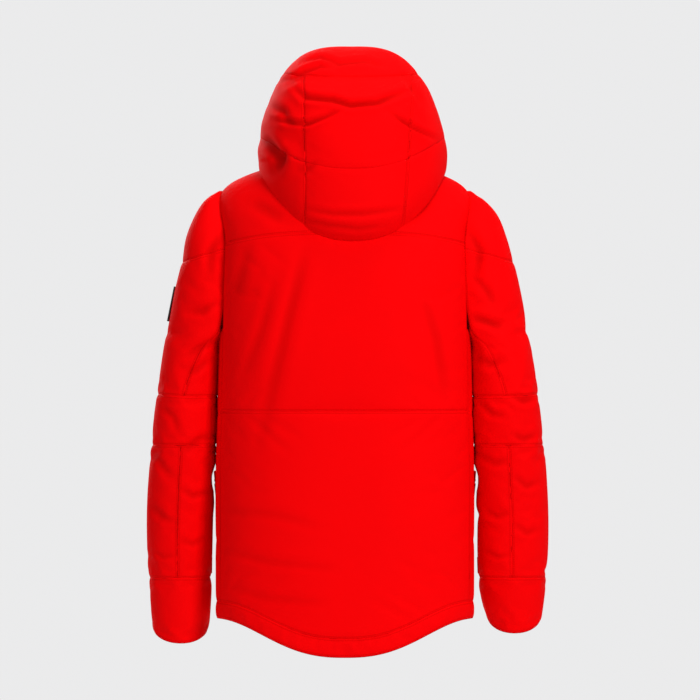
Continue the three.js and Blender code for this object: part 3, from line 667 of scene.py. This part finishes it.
def sleeve_rings(lower, wide):
    """How much lower and how much further out this sleeve's end is than the other side's."""
    return [
        cuff_ring(56 - lower, 38 - lower, 60 - lower, 259 + wide, 218 + wide, 303 + 0.7 * wide),
        sleeve_ring(125, 264, 213, 309 + wide, 54, 54, -37.5),
        sleeve_ring(226, 263, 211, 310 + wide, 58, 58, -22.5),
        sleeve_ring(335, 258, 204.5, 304 + wide, 61, 61, -10),
        sleeve_ring(412, 253.5, 201.5, 295 + wide, 62, 62, -2, tilt=-3),
        sleeve_ring(485, 226, 198, 284 + wide, 63, 60, 0, swell=3),
        sleeve_ring(517, 199, 193, 277 + wide, 62, 50, 0, swell=8),
        upper_ring(586, 266 + wide, 5, 9),
        upper_ring(643, 257 + wide, 20, 9),
        upper_ring(676, 251 + wide / 2, 14, 8),
        upper_ring(704, 237 + wide / 2, 7, 6),
        upper_ring(723, 222, 3, 4),
        sleeve_ring(SHOULDER_POINT, 188, 184, 200, 4, 4),
    ]


left_folds = [
    (-1, 9.0, 11, ((214, 305), (211, 286), (214, 262))),
    (1, 3.0, 8, ((196, 668), (212, 640), (214, 600))),
    (1, 2.2, 7, ((204, 560), (226, 545), (246, 548))),
    (1, 2.4, 7, ((206, 500), (228, 490), (250, 476))),
    (1, 2.0, 6, ((212, 470), (236, 452), (252, 446))),
    (1, 2.0, 6, ((292, 396), (272, 380), (262, 352))),
    (1, 2.2, 7, ((212, 352), (236, 340), (258, 322))),
    (1, 1.8, 6, ((306, 330), (288, 300), (276, 286))),
    (1, 2.2, 6, ((214, 262), (240, 254), (262, 268))),
    (1, 1.8, 6, ((308, 244), (290, 222), (272, 214))),
    (1, 1.8, 6, ((218, 190), (240, 178), (262, 186))),
    (1, 1.6, 5, ((308, 168), (286, 158), (268, 160))),
    (-1, 3.0, 8, ((206, 560), (236, 520), (262, 500))),
    (-1, 3.0, 8, ((212, 430), (244, 410), (286, 424))),
    (-1, 2.6, 7, ((214, 372), (250, 360), (292, 376))),
    (-1, 2.2, 7, ((220, 300), (252, 286), (290, 300))),
]
right_folds = [
    (-1, 9.0, 11, ((-214, 305), (-211, 286), (-214, 262))),
    (-1, 4.5, 8, ((-224, 316), (-230, 298), (-234, 280))),
    (1, 3.2, 8, ((-194, 676), (-214, 640), (-208, 600))),
    (1, 3.4, 7, ((-200, 536), (-222, 530), (-250, 520))),
    (1, 2.4, 7, ((-204, 600), (-226, 576), (-236, 556))),
    (1, 2.2, 7, ((-206, 474), (-228, 462), (-252, 470))),
    (1, 2.2, 6, ((-262, 412), (-284, 404), (-300, 408))),
    (1, 2.0, 6, ((-212, 402), (-232, 384), (-254, 380))),
    (1, 2.2, 6, ((-264, 352), (-284, 344), (-304, 352))),
    (1, 2.2, 7, ((-212, 322), (-236, 306), (-258, 310))),
    (1, 2.2, 6, ((-266, 286), (-288, 270), (-306, 276))),
    (1, 2.0, 6, ((-216, 232), (-240, 222), (-262, 228))),
    (1, 1.8, 6, ((-268, 210), (-288, 196), (-306, 202))),
    (1, 1.8, 5, ((-218, 168), (-240, 158), (-262, 162))),
    (-1, 3.0, 8, ((-206, 550), (-236, 516), (-262, 490))),
    (-1, 3.0, 8, ((-212, 420), (-244, 404), (-286, 414))),
    (-1, 2.6, 7, ((-214, 366), (-250, 352), (-292, 364))),
    (-1, 2.2, 7, ((-220, 290), (-252, 280), (-290, 296))),
]


def turned_round(low, high):
    """The same two edges on a mirrored sleeve."""
    return tuple(other_side(edge) if callable(edge) else 180 - edge for edge in (high, low))


SIDES = {
    "left": (1, Skin(sleeve_rings(16, 0), left_folds), lambda low, high: (low, high)),
    "right": (-1, Skin([mirrored(ring) for ring in sleeve_rings(0, 9)], right_folds), turned_round),
}


def armhole_side(step):
    """The sleeve's open side, tucked a little way under the body's edge above the armpit."""
    return 90 + 8 * np.clip((np.asarray(step, float) - UNDERARM + 0.4) / 0.8, 0, 1)


def bend_at_shoulder(piece, side, sign):
    across = Vector((ARM_BEND.x * sign, 0, ARM_BEND.z))
    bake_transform(piece)


for side, (sign, skin, turned) in SIDES.items():
    open_sides, around = turned(negative(armhole_side), armhole_side), turned(-180, 180)
    outside, inside = turned(-90, 90), turned(90, 270)
    for name, node, sides, ends, spare, cap, cell in (
        ("shoulder_cap", "sleeve_head", open_sides, (HEAD_SEAM, HEAD_TOP), 0.004, 3, 6.0),
        ("arm_outer", "upper_sleeve", open_sides, (ELBOW, HEAD_SEAM), 0.014, 5, 5.5),
        ("arm_under", "upper_sleeve_under", inside, (ELBOW, UNDERARM + 0.35), 0.014, 3, 5.5),
    ):
        piece = garment_panel(f"{side}_{name}", skin, sides, ends, spare, cap, cell=cell)
        bend_at_shoulder(piece, side, sign)
        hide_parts(f"{side}_{node}")
    tube = {"closed": True, "sewn": (0, 0, 1, 1)}
    elbow = garment_panel(f"{side}_elbow", skin, around, (FOREARM, ELBOW), 0.02, 4, cell=5.0, **tube)
    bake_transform(elbow)
    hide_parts(f"{side}_elbow_panel")
    for name, node, sides, ends, spare, cap, more in (
        ("forearm_outer", "forearm", outside, (CUFF_SEAM, FOREARM), 0.016, 5, {"cell": 5.5}),
        ("forearm_inner", "forearm_under", inside, (CUFF_SEAM, FOREARM), 0.016, 3, {"cell": 5.5}),
        ("cuff_band", "cuff", around, (CUFF_END, CUFF_SEAM), 0.02, 3, {"cell": 4.5, "fill": 0.5, **tube}),
    ):
        piece = garment_panel(f"{side}_{name}", skin, sides, ends, spare, cap, **more)
        fasten(piece, f"{side}_forearm", f"{side}_{node}")
    tab = garment_panel(f"{side}_strap", skin, turned(188, 260), (CUFF_SEAM + 0.07, CUFF_SEAM + 0.31), 0.0, 1,
                        out=3.4, cell=3.0, thick=2.2, tuck=0.8, fill=0.2)
    fasten(tab, f"{side}_tab", f"{side}_cuff_tab")

# ----------------------------------------------------------
# Hood: a centre panel from the crown down over the neck, two side panels and a crown panel. Its lower part,
# a padded roll, moves with the torso round the neck; the rest and the hood's lining move with the hood.
CROWN_SHIFT = -9.0  # the hood leans to the wearer's right
HOOD_BOTTOM, HOOD_CROWN = 0, 5
HOOD_FOLD = 2.1
FACE_EDGE = -42.0
CROWN_TOP, CROWN_RIM, CROWN_MIDDLE = 964.0, 920.0, -20.0


def hood_ring(half, back, fore, power, side, rear, front, sweep=2.0, shift=0.0):
    def ring(angle):
        a = np.radians(angle)
        s = np.sin(a)
        x, y = power_curve(a, half, np.where(s > 0, back, fore), power)
        height = side + (np.where(s > 0, rear, front) - side) * np.abs(s) ** sweep
        return np.stack([x + shift, y, height], axis=-1)
    return ring


hood_rings = [
    hood_ring(148.5, 138, 106, 2.4, 772, 655, 770, 1.6, shift=-12.5),
    hood_ring(148, 160, 109, 2.3, 794, 682, 794, 1.8, shift=-13.0),
    hood_ring(146, 163, 112, 2.3, 816, 760, 816, shift=-12.0),
    hood_ring(137, 156, 118, 2.4, 854, 836, 854, shift=-10.0),
    hood_ring(122.5, 134, 126, 2.5, 892, 888, 888, shift=-10.5),
    hood_ring(107, 100, 138, 2.6, CROWN_RIM, CROWN_RIM - 6, CROWN_RIM - 14, shift=CROWN_SHIFT),
]
hood_folds = [
    (1, 5.5, 5, ((82, 900), (64, 884), (20, 880), (-8, 872), (-52, 876), (-72, 884), (-104, 896))),
    (1, 4.0, 4, ((112, 848), (98, 846), (60, 842), (34, 852), (2, 866))),
    (1, 3.6, 4, ((-68, 864), (-92, 846), (-112, 834), (-146, 818))),
    (1, 8.0, 9, ((130, 824), (112, 800), (100, 786), (112, 768))),
    (1, 3.5, 4, ((112, 786), (100, 790), (92, 800))),
    (1, 3.0, 6, ((118, 872), (98, 862), (84, 838))),
    (1, 1.8, 6, ((84, 774), (60, 770), (44, 782))),
    (1, 2.0, 5, ((66, 708), (20, 700), (-30, 700), (-92, 708))),
    (1, 2.0, 5, ((66, 690), (30, 682), (-20, 676), (-66, 682))),
    (1, 3.2, 4, ((106, 908), (84, 914), (66, 924), (40, 934), (0, 932))),
    (1, 3.0, 4, ((76, 940), (40, 948), (10, 938), (-30, 942), (-64, 934))),
    (1, 2.4, 4, ((60, 918), (82, 908), (98, 900))),
    (1, 2.0, 5, ((-90, 920), (-110, 896), (-122, 872))),
    (-1, 2.0, 8, ((118, 880), (112, 840), (122, 800))),
    (-1, 2.0, 8, ((-136, 880), (-128, 840), (-142, 800))),
]
hood_skin = Skin(hood_rings, hood_folds)


def hood_seam(reach):
    """The centre panel's edge, given how far it lies from the hood's middle at each ring."""
    def edge(step):
        half = np.interp(step, range(6), (148.5, 148, 146, 137, 122.5, 107))
        out = np.interp(step, range(6), reach)
        return 90 - np.degrees(np.arcsin(np.minimum(1, (out / half) ** 1.2)))
    return edge


left_seam = hood_seam((78.5, 78, 76, 74, 73.5, 72))
right_seam = other_side(hood_seam((77.5, 83, 89, 93, 94.5, 95)))


class Crown:
    """The crown's dome: a square of cloth drawn out to the oval of the hood's top ring."""
    folds = hood_folds
    rim = staticmethod(hood_rings[HOOD_CROWN])

    def smooth(self, across, along):
        across, along = np.broadcast_arrays(np.asarray(across, float), np.asarray(along, float))
        share = np.maximum(np.abs(across), np.abs(along))[..., None]
        edge = self.rim(np.degrees(np.arctan2(along, across)))
        middle = np.array((CROWN_SHIFT, CROWN_MIDDLE, 0.0))
        flat = edge * share + middle * (1 - share)
        share = share[..., 0]
        rise = (CROWN_TOP - CROWN_RIM) * (1 - share**3.2)
        flat[..., 2] = CROWN_RIM + (edge[..., 2] - CROWN_RIM) * share + rise
        return flat

    def outward(self, across, along):
        return square_to(self, across, along, 0.02, 0.02)


def folds_back(piece, node):
    fasten(piece, "hood", node)
    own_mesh(piece)


for place, sides in (("centre", (left_seam, right_seam)), ("left", (FACE_EDGE, left_seam)),
                     ("right", (right_seam, 180 - FACE_EDGE))):
    roll = garment_panel(f"hood_roll_{place}", hood_skin, sides, (HOOD_BOTTOM, HOOD_FOLD), 0.004, 3,
                         sewn=(1, 1, 1, 0))
    fasten(roll, "torso", "hood_roll")
    upper = garment_panel(f"hood_panel_{place}", hood_skin, sides, (HOOD_FOLD, HOOD_CROWN), 0.006, 4,
                          sewn=(1, 1, 0, 1))
    folds_back(upper, f"hood_{place}")
top = garment_panel("hood_top", Crown(), (-1, 1), (-1, 1), 0.01, 6)
folds_back(top, "hood_crown")

# ----------------------------------------------------------
# Collar: a padded band that stands up from the neck seam inside the hood, higher in front, where the zip
# runs up between its two ends.
COLLAR_BACK, COLLAR_FRONT = 50.0, 75.0


def collar_ring(rise, lean):
    def ring(angle):
        a = np.radians(angle)
        s = np.sin(a)
        full = COLLAR_BACK + (COLLAR_FRONT - COLLAR_BACK) * (1 - s) / 2
        seam = NECK_SIDE + (np.where(s > 0, BACK_LENGTH, NECK_FRONT) - NECK_SIDE) * s**2
        height = seam + 1.6 + rise * (full - 10)
        x, y = power_curve(a, NECK_HALF - lean, np.where(s > 0, NECK_BACK - lean, front_depth(height)), 2)
        return np.stack([x, y, height], axis=-1)
    return ring


collar_skin = Skin([collar_ring(0, 0), collar_ring(0.5, 3), collar_ring(1, 4)])
collar_edge = front_edge_of(collar_skin)
neck_band = garment_panel("neck_band", collar_skin, (collar_edge, other_side(collar_edge)), (0, 2), 0.01, 4,
                          cell=5.0)
fasten(neck_band, "torso", "collar")

# ----------------------------------------------------------
# Linings: smooth satin sheets sewn in behind the padding of the body and the hood, with openings at the
# armholes, and the bags that hang from the hand pockets between the outer fabric and the lining.
LINING_DEPTH, HOOD_LINING_DEPTH, BAG_DEPTH = 10.0, 9.0, 6.4  # under the outer face
LINING_THICK, BAG_THICK = 1.2, 1.4
satin = Finish("lining_fabric", (0.3, 0.008, 0.01), 0.42, specular=0.3, sheen=0.1)
satin_weave = satin.uv("weave")
satin.bump(satin_weave.part("X").wave(0.0008) * 0.3 + satin.noise(14.0) * 2.0, 0.0004, 0.5)


def delete_faces(piece, where):
    for element in (*piece.data.vertices, *piece.data.edges):
        element.select = False
    for face in piece.data.polygons:
        face.select = where(face.center)
    bpy.context.view_layer.objects.active = piece
    bpy.ops.object.mode_set(mode="EDIT")
    bpy.ops.mesh.select_mode(type="FACE")
    bpy.ops.mesh.delete(type="FACE")
    bpy.ops.object.mode_set(mode="OBJECT")


def inner_sheet(name, skin, sides, ends, out, thick, finish, cell=9.0, closed=False, gap=None):
    """A sheet of one layer's thickness; gap says which of its faces are cut away."""
    piece = sewn_panel(name, skin, sides, ends, (0, 0, 0, 0), closed, cell, tuck=0.0, out=out)
    if gap:
        delete_faces(piece, gap)
    wall = piece.modifiers.new("wall", "SOLIDIFY")
    wall.thickness = thick * MM
    wall.offset = -1
    apply_modifiers(piece)
    smooth(piece)
    finish_of(piece, finish)
    return piece


ARMHOLE_LOW = to_frame(np.array((180.0, -52.0, 520.0)))
ARMHOLE_HIGH = to_frame(np.array((260.0, 52.0, 733.0)))


def faces_sleeve(p):
    at = (abs(p.x), p.y, p.z)
    return all(low < value < high for low, value, high in zip(ARMHOLE_LOW, at, ARMHOLE_HIGH))


jacket_lining = inner_sheet("jacket_lining", body_skin,
                            (lambda v: front_edge(v) + 0.4, lambda v: 179.6 - front_edge(v)),
                            (HEM_SEAM + 0.2, NECK - 0.12), -LINING_DEPTH, LINING_THICK, satin,
                            gap=faces_sleeve)
fasten(jacket_lining, "torso", "body_lining")

hood_inside = inner_sheet("hood_inside", hood_skin, (FACE_EDGE + 1, 179 - FACE_EDGE),
                          (HOOD_FOLD - 0.08, HOOD_CROWN - 0.3), -HOOD_LINING_DEPTH, LINING_THICK, satin)
folds_back(hood_inside, "hood_lining")

POCKET_TURN = (-30.0, -17.0)  # the zip's lower and upper ends, in degrees round the body
BAG_REACH = 26.0


def bag_edge(step):
    share = np.asarray(step, float) - HEM_SEAM - 1
    return POCKET_TURN[0] + (POCKET_TURN[1] - POCKET_TURN[0]) * share + 1


def bag_front(step):
    return bag_edge(step) - BAG_REACH


bag_sides = {"left": (bag_front, bag_edge), "right": (other_side(bag_edge), other_side(bag_front))}
for side, sides in bag_sides.items():
    bag = inner_sheet(f"pocket_lining_{side}", body_skin, sides, (WAIST - 0.9, WAIST + 0.1), -BAG_DEPTH,
                      BAG_THICK, satin)
    fasten(bag, "torso", f"{side}_pocket_bag")

# ----------------------------------------------------------
# Powder skirt and wrist gaiters: stretch knit with fine ribs. The skirt hangs from the lining above the
# hem and is gathered by the elastic along its lower edge; the gaiters are tubes inside the cuffs.
SKIRT_PLEATS = 46
SKIRT_HALF, SKIRT_BACK = 203, 138  # before it is drawn in
GAITER_DEPTH = 11.0  # under the cuff's outer face
knit = Finish("knit_fabric", (0.028, 0.028, 0.03), 0.9, specular=0.1, sheen=0.25)
rib = knit.uv("weave").part("X").wave(0.0036)
knit.set("Base Color", knit.blend(rib * 0.5 + 0.5, (0.016, 0.016, 0.018), (0.036, 0.036, 0.038)))
knit.bump(rib, 0.0006, 0.8)


def skirt_ring(height, inset, ripple):
    def ring(angle):
        a = np.radians(angle)
        wavy = inset - ripple * np.sin(SKIRT_PLEATS * a)
        deep = np.where(np.sin(a) > 0, SKIRT_BACK, front_depth(height)) - wavy
        x, y = power_curve(a, SKIRT_HALF - wavy, deep, 2.6)
        return np.stack([x, y, np.full(x.shape, float(height))], axis=-1)
    return ring


skirt_skin = Skin([skirt_ring(160, 25, 0.6), skirt_ring(168, 25.4, 2.2), skirt_ring(222, 19, 1.4),
                   skirt_ring(285, 13.6, 0.3)])
skirt = inner_sheet("snow_skirt", skirt_skin, (-87.5, 267.5), (0, 3), 0.0, 1.0, knit, cell=4.0)
fasten(skirt, "torso", "powder_skirt")

for side, (_, skin, turned) in SIDES.items():
    gaiter = inner_sheet(f"{side}_wrist_knit", skin, turned(-180, 180), (CUFF_END + 0.06, CUFF_SEAM - 0.1),
                         -GAITER_DEPTH, 1.5, knit, cell=6.0, closed=True)
    fasten(gaiter, f"{side}_forearm", f"{side}_wrist_gaiter")

# ----------------------------------------------------------
# Front zip: two rows of moulded teeth on woven tapes between the fronts, with a box at the foot, a metal
# slider with a bridge and a moulded pull at the top, and a wind flap behind.
ZIP_LEAN = 0.0589
ZIP_LENGTH = 781.4
ZIP_FOOT = 16.0
ZIP_DEEP = 1.8  # from the fronts' outer face to the middle of the teeth
TOOTH_PITCH = 3.0
SLIDER_AWAY, PULL_AWAY = 0.4, 9.0
SLIDER_BELOW = 12  # the zip's upper end, once it is closed
TAPE_FOOT = ZIP_FOOT + 0.8
moulding = Finish("zip_teeth", (0.03, 0.026, 0.024), 0.38, specular=0.5)
moulding.set("Roughness", moulding.noise(220.0) * 0.2 + 0.3)
metal = Finish("slider_metal", (0.05, 0.045, 0.04), 0.34, metallic=0.85)
metal.set("Roughness", metal.noise(160.0) * 0.2 + 0.26)
rubber = Finish("pull_rubber", (0.05, 0.04, 0.034), 0.55, specular=0.35)
rubber.bump(rubber.noise(900.0, 2.0), 0.0002, 0.5)
tape = Finish("zip_tape", (0.16, 0.004, 0.005), 0.8, specular=0.15, sheen=0.1)
tape.bump(tape.where().part("Z").wave(0.0014) + tape.where().part("X").wave(0.0011), 0.0002, 0.6)


def block(name, size, at, bevel=0.4, segments=2):
    """A box with rounded edges: width, depth and height in millimetres, about a middle point."""
    bpy.ops.mesh.primitive_cube_add(size=1)
    piece = bpy.context.object
    piece.name = piece.data.name = name
    piece.data.transform(Matrix.Translation(Vector(at) * MM) @ Matrix.Diagonal((*(Vector(size) * MM), 1)))
    if bevel:
        rounding = piece.modifiers.new("round", "BEVEL")
        rounding.width = bevel * MM
        rounding.segments = segments
        apply_modifiers(piece)
    return piece


def joined(name, pieces):
    bpy.ops.object.select_all(action="DESELECT")
    for piece in pieces:
        piece.select_set(True)
    bpy.context.view_layer.objects.active = pieces[0]
    bpy.ops.object.join()
    pieces[0].name = pieces[0].data.name = name
    return pieces[0]


def repeated(piece, count, step):
    array = piece.modifiers.new("row", "ARRAY")
    array.count = count
    array.use_relative_offset = False
    array.use_constant_offset = True
    array.constant_offset_displace = (0, 0, step * MM)
    apply_modifiers(piece)
    return piece


def moved(deep, up):
    return Matrix.Translation(Vector((0, deep, up)) * MM)


def settle(piece, place, finish, body, node):
    """Puts a piece where it belongs, gives it its finish and lets it ride its body."""
    piece.data.transform(place)
    bpy.ops.object.select_all(action="DESELECT")
    piece.select_set(True)
    bpy.context.view_layer.objects.active = piece
    bpy.ops.object.shade_smooth_by_angle(angle=math.radians(35))
    finish_of(piece, finish)
    fasten(piece, body, node)


def teeth(name, low, high, wide, deep, pitch, at_y):
    """Two rows that mesh: each tooth reaches just past the middle, half a pitch from its neighbour."""
    rows = []
    for sign, start in ((1, 0.0), (-1, 0.5)):
        at = (sign * wide * 0.42, at_y, low + pitch * (0.4 + start))
        tooth = block(f"{name}_{sign}", (wide, deep, pitch * 0.52), at, min(wide, deep) * 0.16, segments=1)
        rows.append(repeated(tooth, int((high - low - pitch) / pitch), pitch))
    return joined(name, rows)


def wire_ring(radius, wire, turn):
    bpy.ops.mesh.primitive_torus_add(major_segments=24, minor_segments=8, major_radius=radius * MM,
                                     minor_radius=wire * MM, rotation=turn)
    bpy.ops.object.transform_apply()
    return bpy.context.object


def slider_shape(name, wide, deep, tall):
    """A plate that narrows to its foot, with an arched bridge for the pull."""
    plate = block(f"{name}_plate", (wide, deep, tall), (0, -deep / 2, 0), min(wide, tall) * 0.13, segments=3)
    for vertex in plate.data.vertices:
        if vertex.co.z < 0:
            vertex.co.x *= 0.78
    bridge = wire_ring(tall * 0.3, 1.1, (0, math.pi / 2, 0))
    flatten = Matrix.Diagonal((1, 1.7 / (tall * 0.3), 1, 1))
    bridge.data.transform(Matrix.Translation((0, -deep * MM, 0)) @ flatten)
    return joined(name, [plate, bridge])


def pull_shape(name, wide, deep, tall):
    """A tab with a waist, an eye at its top and grip ridges at its foot."""
    grip = block(f"{name}_grip", (wide, deep, tall * 0.72), (0, 0, -tall * 0.63), deep * 0.36, segments=3)
    neck = block(f"{name}_neck", (wide * 0.5, deep * 0.8, tall * 0.3), (0, 0, -tall * 0.2), deep * 0.3)
    ridge = block(f"{name}_ridge", (wide * 0.8, deep * 1.04, 1.0), (0, 0, -tall * 0.92), bevel=0.3)
    ridge = repeated(ridge, 5, 2.2)
    eye = wire_ring(wide * 0.34, deep * 0.34, (math.pi / 2, 0, 0))
    eye.data.transform(Matrix.Translation((0, 0, -wide * 0.48 * MM)))
    return joined(name, [grip, neck, ridge, eye])


zip_place = (Matrix.Translation(Vector(to_frame(np.array((0.0, -ZIP_LOW[1], ZIP_LOW[0])))))
             @ Matrix.Rotation(-ZIP_LEAN, 4, "X"))
front_teeth = teeth("moulded_teeth", TAPE_FOOT, ZIP_LENGTH, 3.2, 2.2, TOOTH_PITCH, ZIP_DEEP)
settle(front_teeth, zip_place, moulding, "torso", "front_zip_teeth")
foot = block("zip_foot", (11, 3.8, ZIP_FOOT), (0, ZIP_DEEP, ZIP_FOOT / 2), bevel=1.0, segments=3)
settle(foot, zip_place, moulding, "torso", "front_zip_box")
for side, sign in (("left", 1), ("right", -1)):
    strip = block(f"{side}_woven_tape", (9.4, 1.2, ZIP_LENGTH - TAPE_FOOT),
                  (sign * 8.1, ZIP_DEEP, (ZIP_LENGTH + TAPE_FOOT) / 2), bevel=0.3)
    heel = block("tape_heel", (7.1, 1.2, ZIP_FOOT + 1.0), (sign * 9.25, ZIP_DEEP, (ZIP_FOOT + 1.0) / 2), 0.3)
    strip = joined(f"{side}_woven_tape", [strip, heel])
    settle(strip, zip_place, tape, "torso", f"{side}_zip_tape")
runner = slider_shape("zip_runner", 11, 5, 15)
settle(runner, zip_place @ moved(-SLIDER_AWAY, ZIP_LENGTH - SLIDER_BELOW), metal, "front_slider",
       "front_zip_slider")
grip = pull_shape("zip_grip", 8, 2.4, 38)
settle(grip, zip_place @ moved(-PULL_AWAY, ZIP_LENGTH - SLIDER_BELOW), rubber, "front_pull",
       "front_zip_pull")


def flap_ring(height):
    """A nearly flat oval just behind the zip, of which the flap is the rear half."""
    def ring(angle):
        a = np.radians(angle)
        deep = -ZIP_LOW[1] + 6.6 + (height - ZIP_LOW[0]) * math.tan(ZIP_LEAN)
        return np.stack([18 * np.cos(a), deep - 1.2 * np.sin(a), np.full(np.shape(a), height)], axis=-1)
    return ring


flap_skin = Skin([flap_ring(66.0), flap_ring(360.0), flap_ring(652.0)])
wind_strip = inner_sheet("wind_strip", flap_skin, (-180, 0), (0, 2), 0.0, 1.4, shell_cloth, cell=6.0)
fasten(wind_strip, "torso", "wind_flap")

# ----------------------------------------------------------
# Hand pockets: a slanted zip on each side of the front with fine coil teeth, between two lips of the outer
# fabric that are sewn shut at both ends, with a small slider and a dark moulded pull.
POCKET_AXES = ((0.4591, 0.86443, -0.2049), (-0.88335, 0.46871, -0.00181), (0.09447, 0.18183, 0.97878))
POCKET_SLIDER = (0.20016, -0.1041, -0.51384)  # where the closed zip's slider stands
POCKET_SPAN, RUNNER_BELOW = 158.7, 14
WELT_WIDE, WELT_SLOT, WELT_THICK, WELT_END = 26.0, 10.0, 3.0, 5.0


def cloth_maps(piece):
    """Weave on the piece's own width and height; it has no stitch rows of its own."""
    for layer in ("weave", "seam"):
        piece.data.uv_layers.new(name=layer)
    for loop in piece.data.loops:
        p = piece.data.vertices[loop.vertex_index].co
        piece.data.uv_layers["weave"].data[loop.index].uv = (p.x, p.z)
        piece.data.uv_layers["seam"].data[loop.index].uv = (1.0, 1.0)


for side, sign in (("left", 1), ("right", -1)):
    across, inward, up = (Vector(axis) for axis in POCKET_AXES)
    across.y, across.z = sign * across.y, sign * across.z
    inward.x, up.x = sign * inward.x, sign * up.x
    turn = Matrix((across, inward, up)).transposed().to_4x4()
    at = Vector(POCKET_SLIDER)
    at.x *= sign
    pocket = Matrix.Translation(at) @ turn @ moved(1.6, RUNNER_BELOW - POCKET_SPAN)
    lip, half, rise = (WELT_WIDE - WELT_SLOT) / 2, WELT_THICK / 2, WELT_END / 2 + 0.2
    lips = [block("lip", (lip, WELT_THICK, POCKET_SPAN), (k * (WELT_SLOT + lip) / 2, -half, POCKET_SPAN / 2),
                  1.3, segments=3) for k in (1, -1)]
    ends = [block("end", (WELT_WIDE - 1, WELT_THICK - 0.3, WELT_END), (0, -half, z), 1.1, segments=3)
            for z in (rise, POCKET_SPAN - rise)]
    welt = joined(f"{side}_pocket_lips", lips + ends)
    cloth_maps(welt)
    settle(welt, pocket, shell_cloth, "torso", f"{side}_pocket_welt")
    coil = teeth(f"{side}_coil", WELT_END + 1, POCKET_SPAN - WELT_END - 1, 1.9, 1.1, 1.9, -0.7)
    backing = block("backing", (8.4, 0.5, POCKET_SPAN - 12), (0, -0.3, POCKET_SPAN / 2), bevel=0)
    coil = joined(f"{side}_coil_zip", [coil, backing])
    settle(coil, pocket, moulding, "torso", f"{side}_pocket_zip")
    runner = slider_shape(f"{side}_small_runner", 8, 3, 11)
    settle(runner, pocket @ moved(-1.6, POCKET_SPAN - RUNNER_BELOW), metal, f"{side}_pocket_runner",
           f"{side}_pocket_slider")
    grip = pull_shape(f"{side}_small_grip", 7, 3.2, 30)
    settle(grip, pocket @ moved(-7.9, POCKET_SPAN - RUNNER_BELOW), rubber, f"{side}_pocket_tag",
           f"{side}_pocket_pull")

# ----------------------------------------------------------
# Hanger loop and badge: a woven loop sewn inside the back of the neck, and a plain moulded badge with
# rounded corners on the outside of the left upper sleeve.
webbing = Finish("loop_webbing", (0.02, 0.018, 0.018), 0.75, specular=0.2)
webbing.bump(webbing.where().part("X").wave(0.0012), 0.0003, 0.7)
bar = block("loop_bar", (60, 1.4, 5), (0, 0, 0), bevel=0.5)
stubs = [block("loop_end", (5, 10.2, 5), (k * 27.5, 4.6, 0), bevel=0.5) for k in (1, -1)]
loop = joined("hanging_loop", [bar, *stubs])
settle(loop, Matrix.Identity(4), webbing, "torso", "hanger_loop")

BADGE_AT = (0.27706, -0.0577, -0.23749)
BADGE_AXES = ((0.12731, 0.9916, 0.02289), (-0.97247, 0.12933, -0.19383), (-0.19516, 0.00242, 0.98077))
BADGE_SUNK = 0.0055  # into the padding
badge_place = (Matrix.Translation(Vector(BADGE_AT) + BADGE_SUNK * Vector(BADGE_AXES[1]))
               @ Matrix(BADGE_AXES).transposed().to_4x4())
patch = block("sleeve_patch", (34, 2, 56), (0, -1, 0), bevel=0.6)
settle(patch, badge_place, rubber, "left_upper_arm", "left_sleeve_badge")
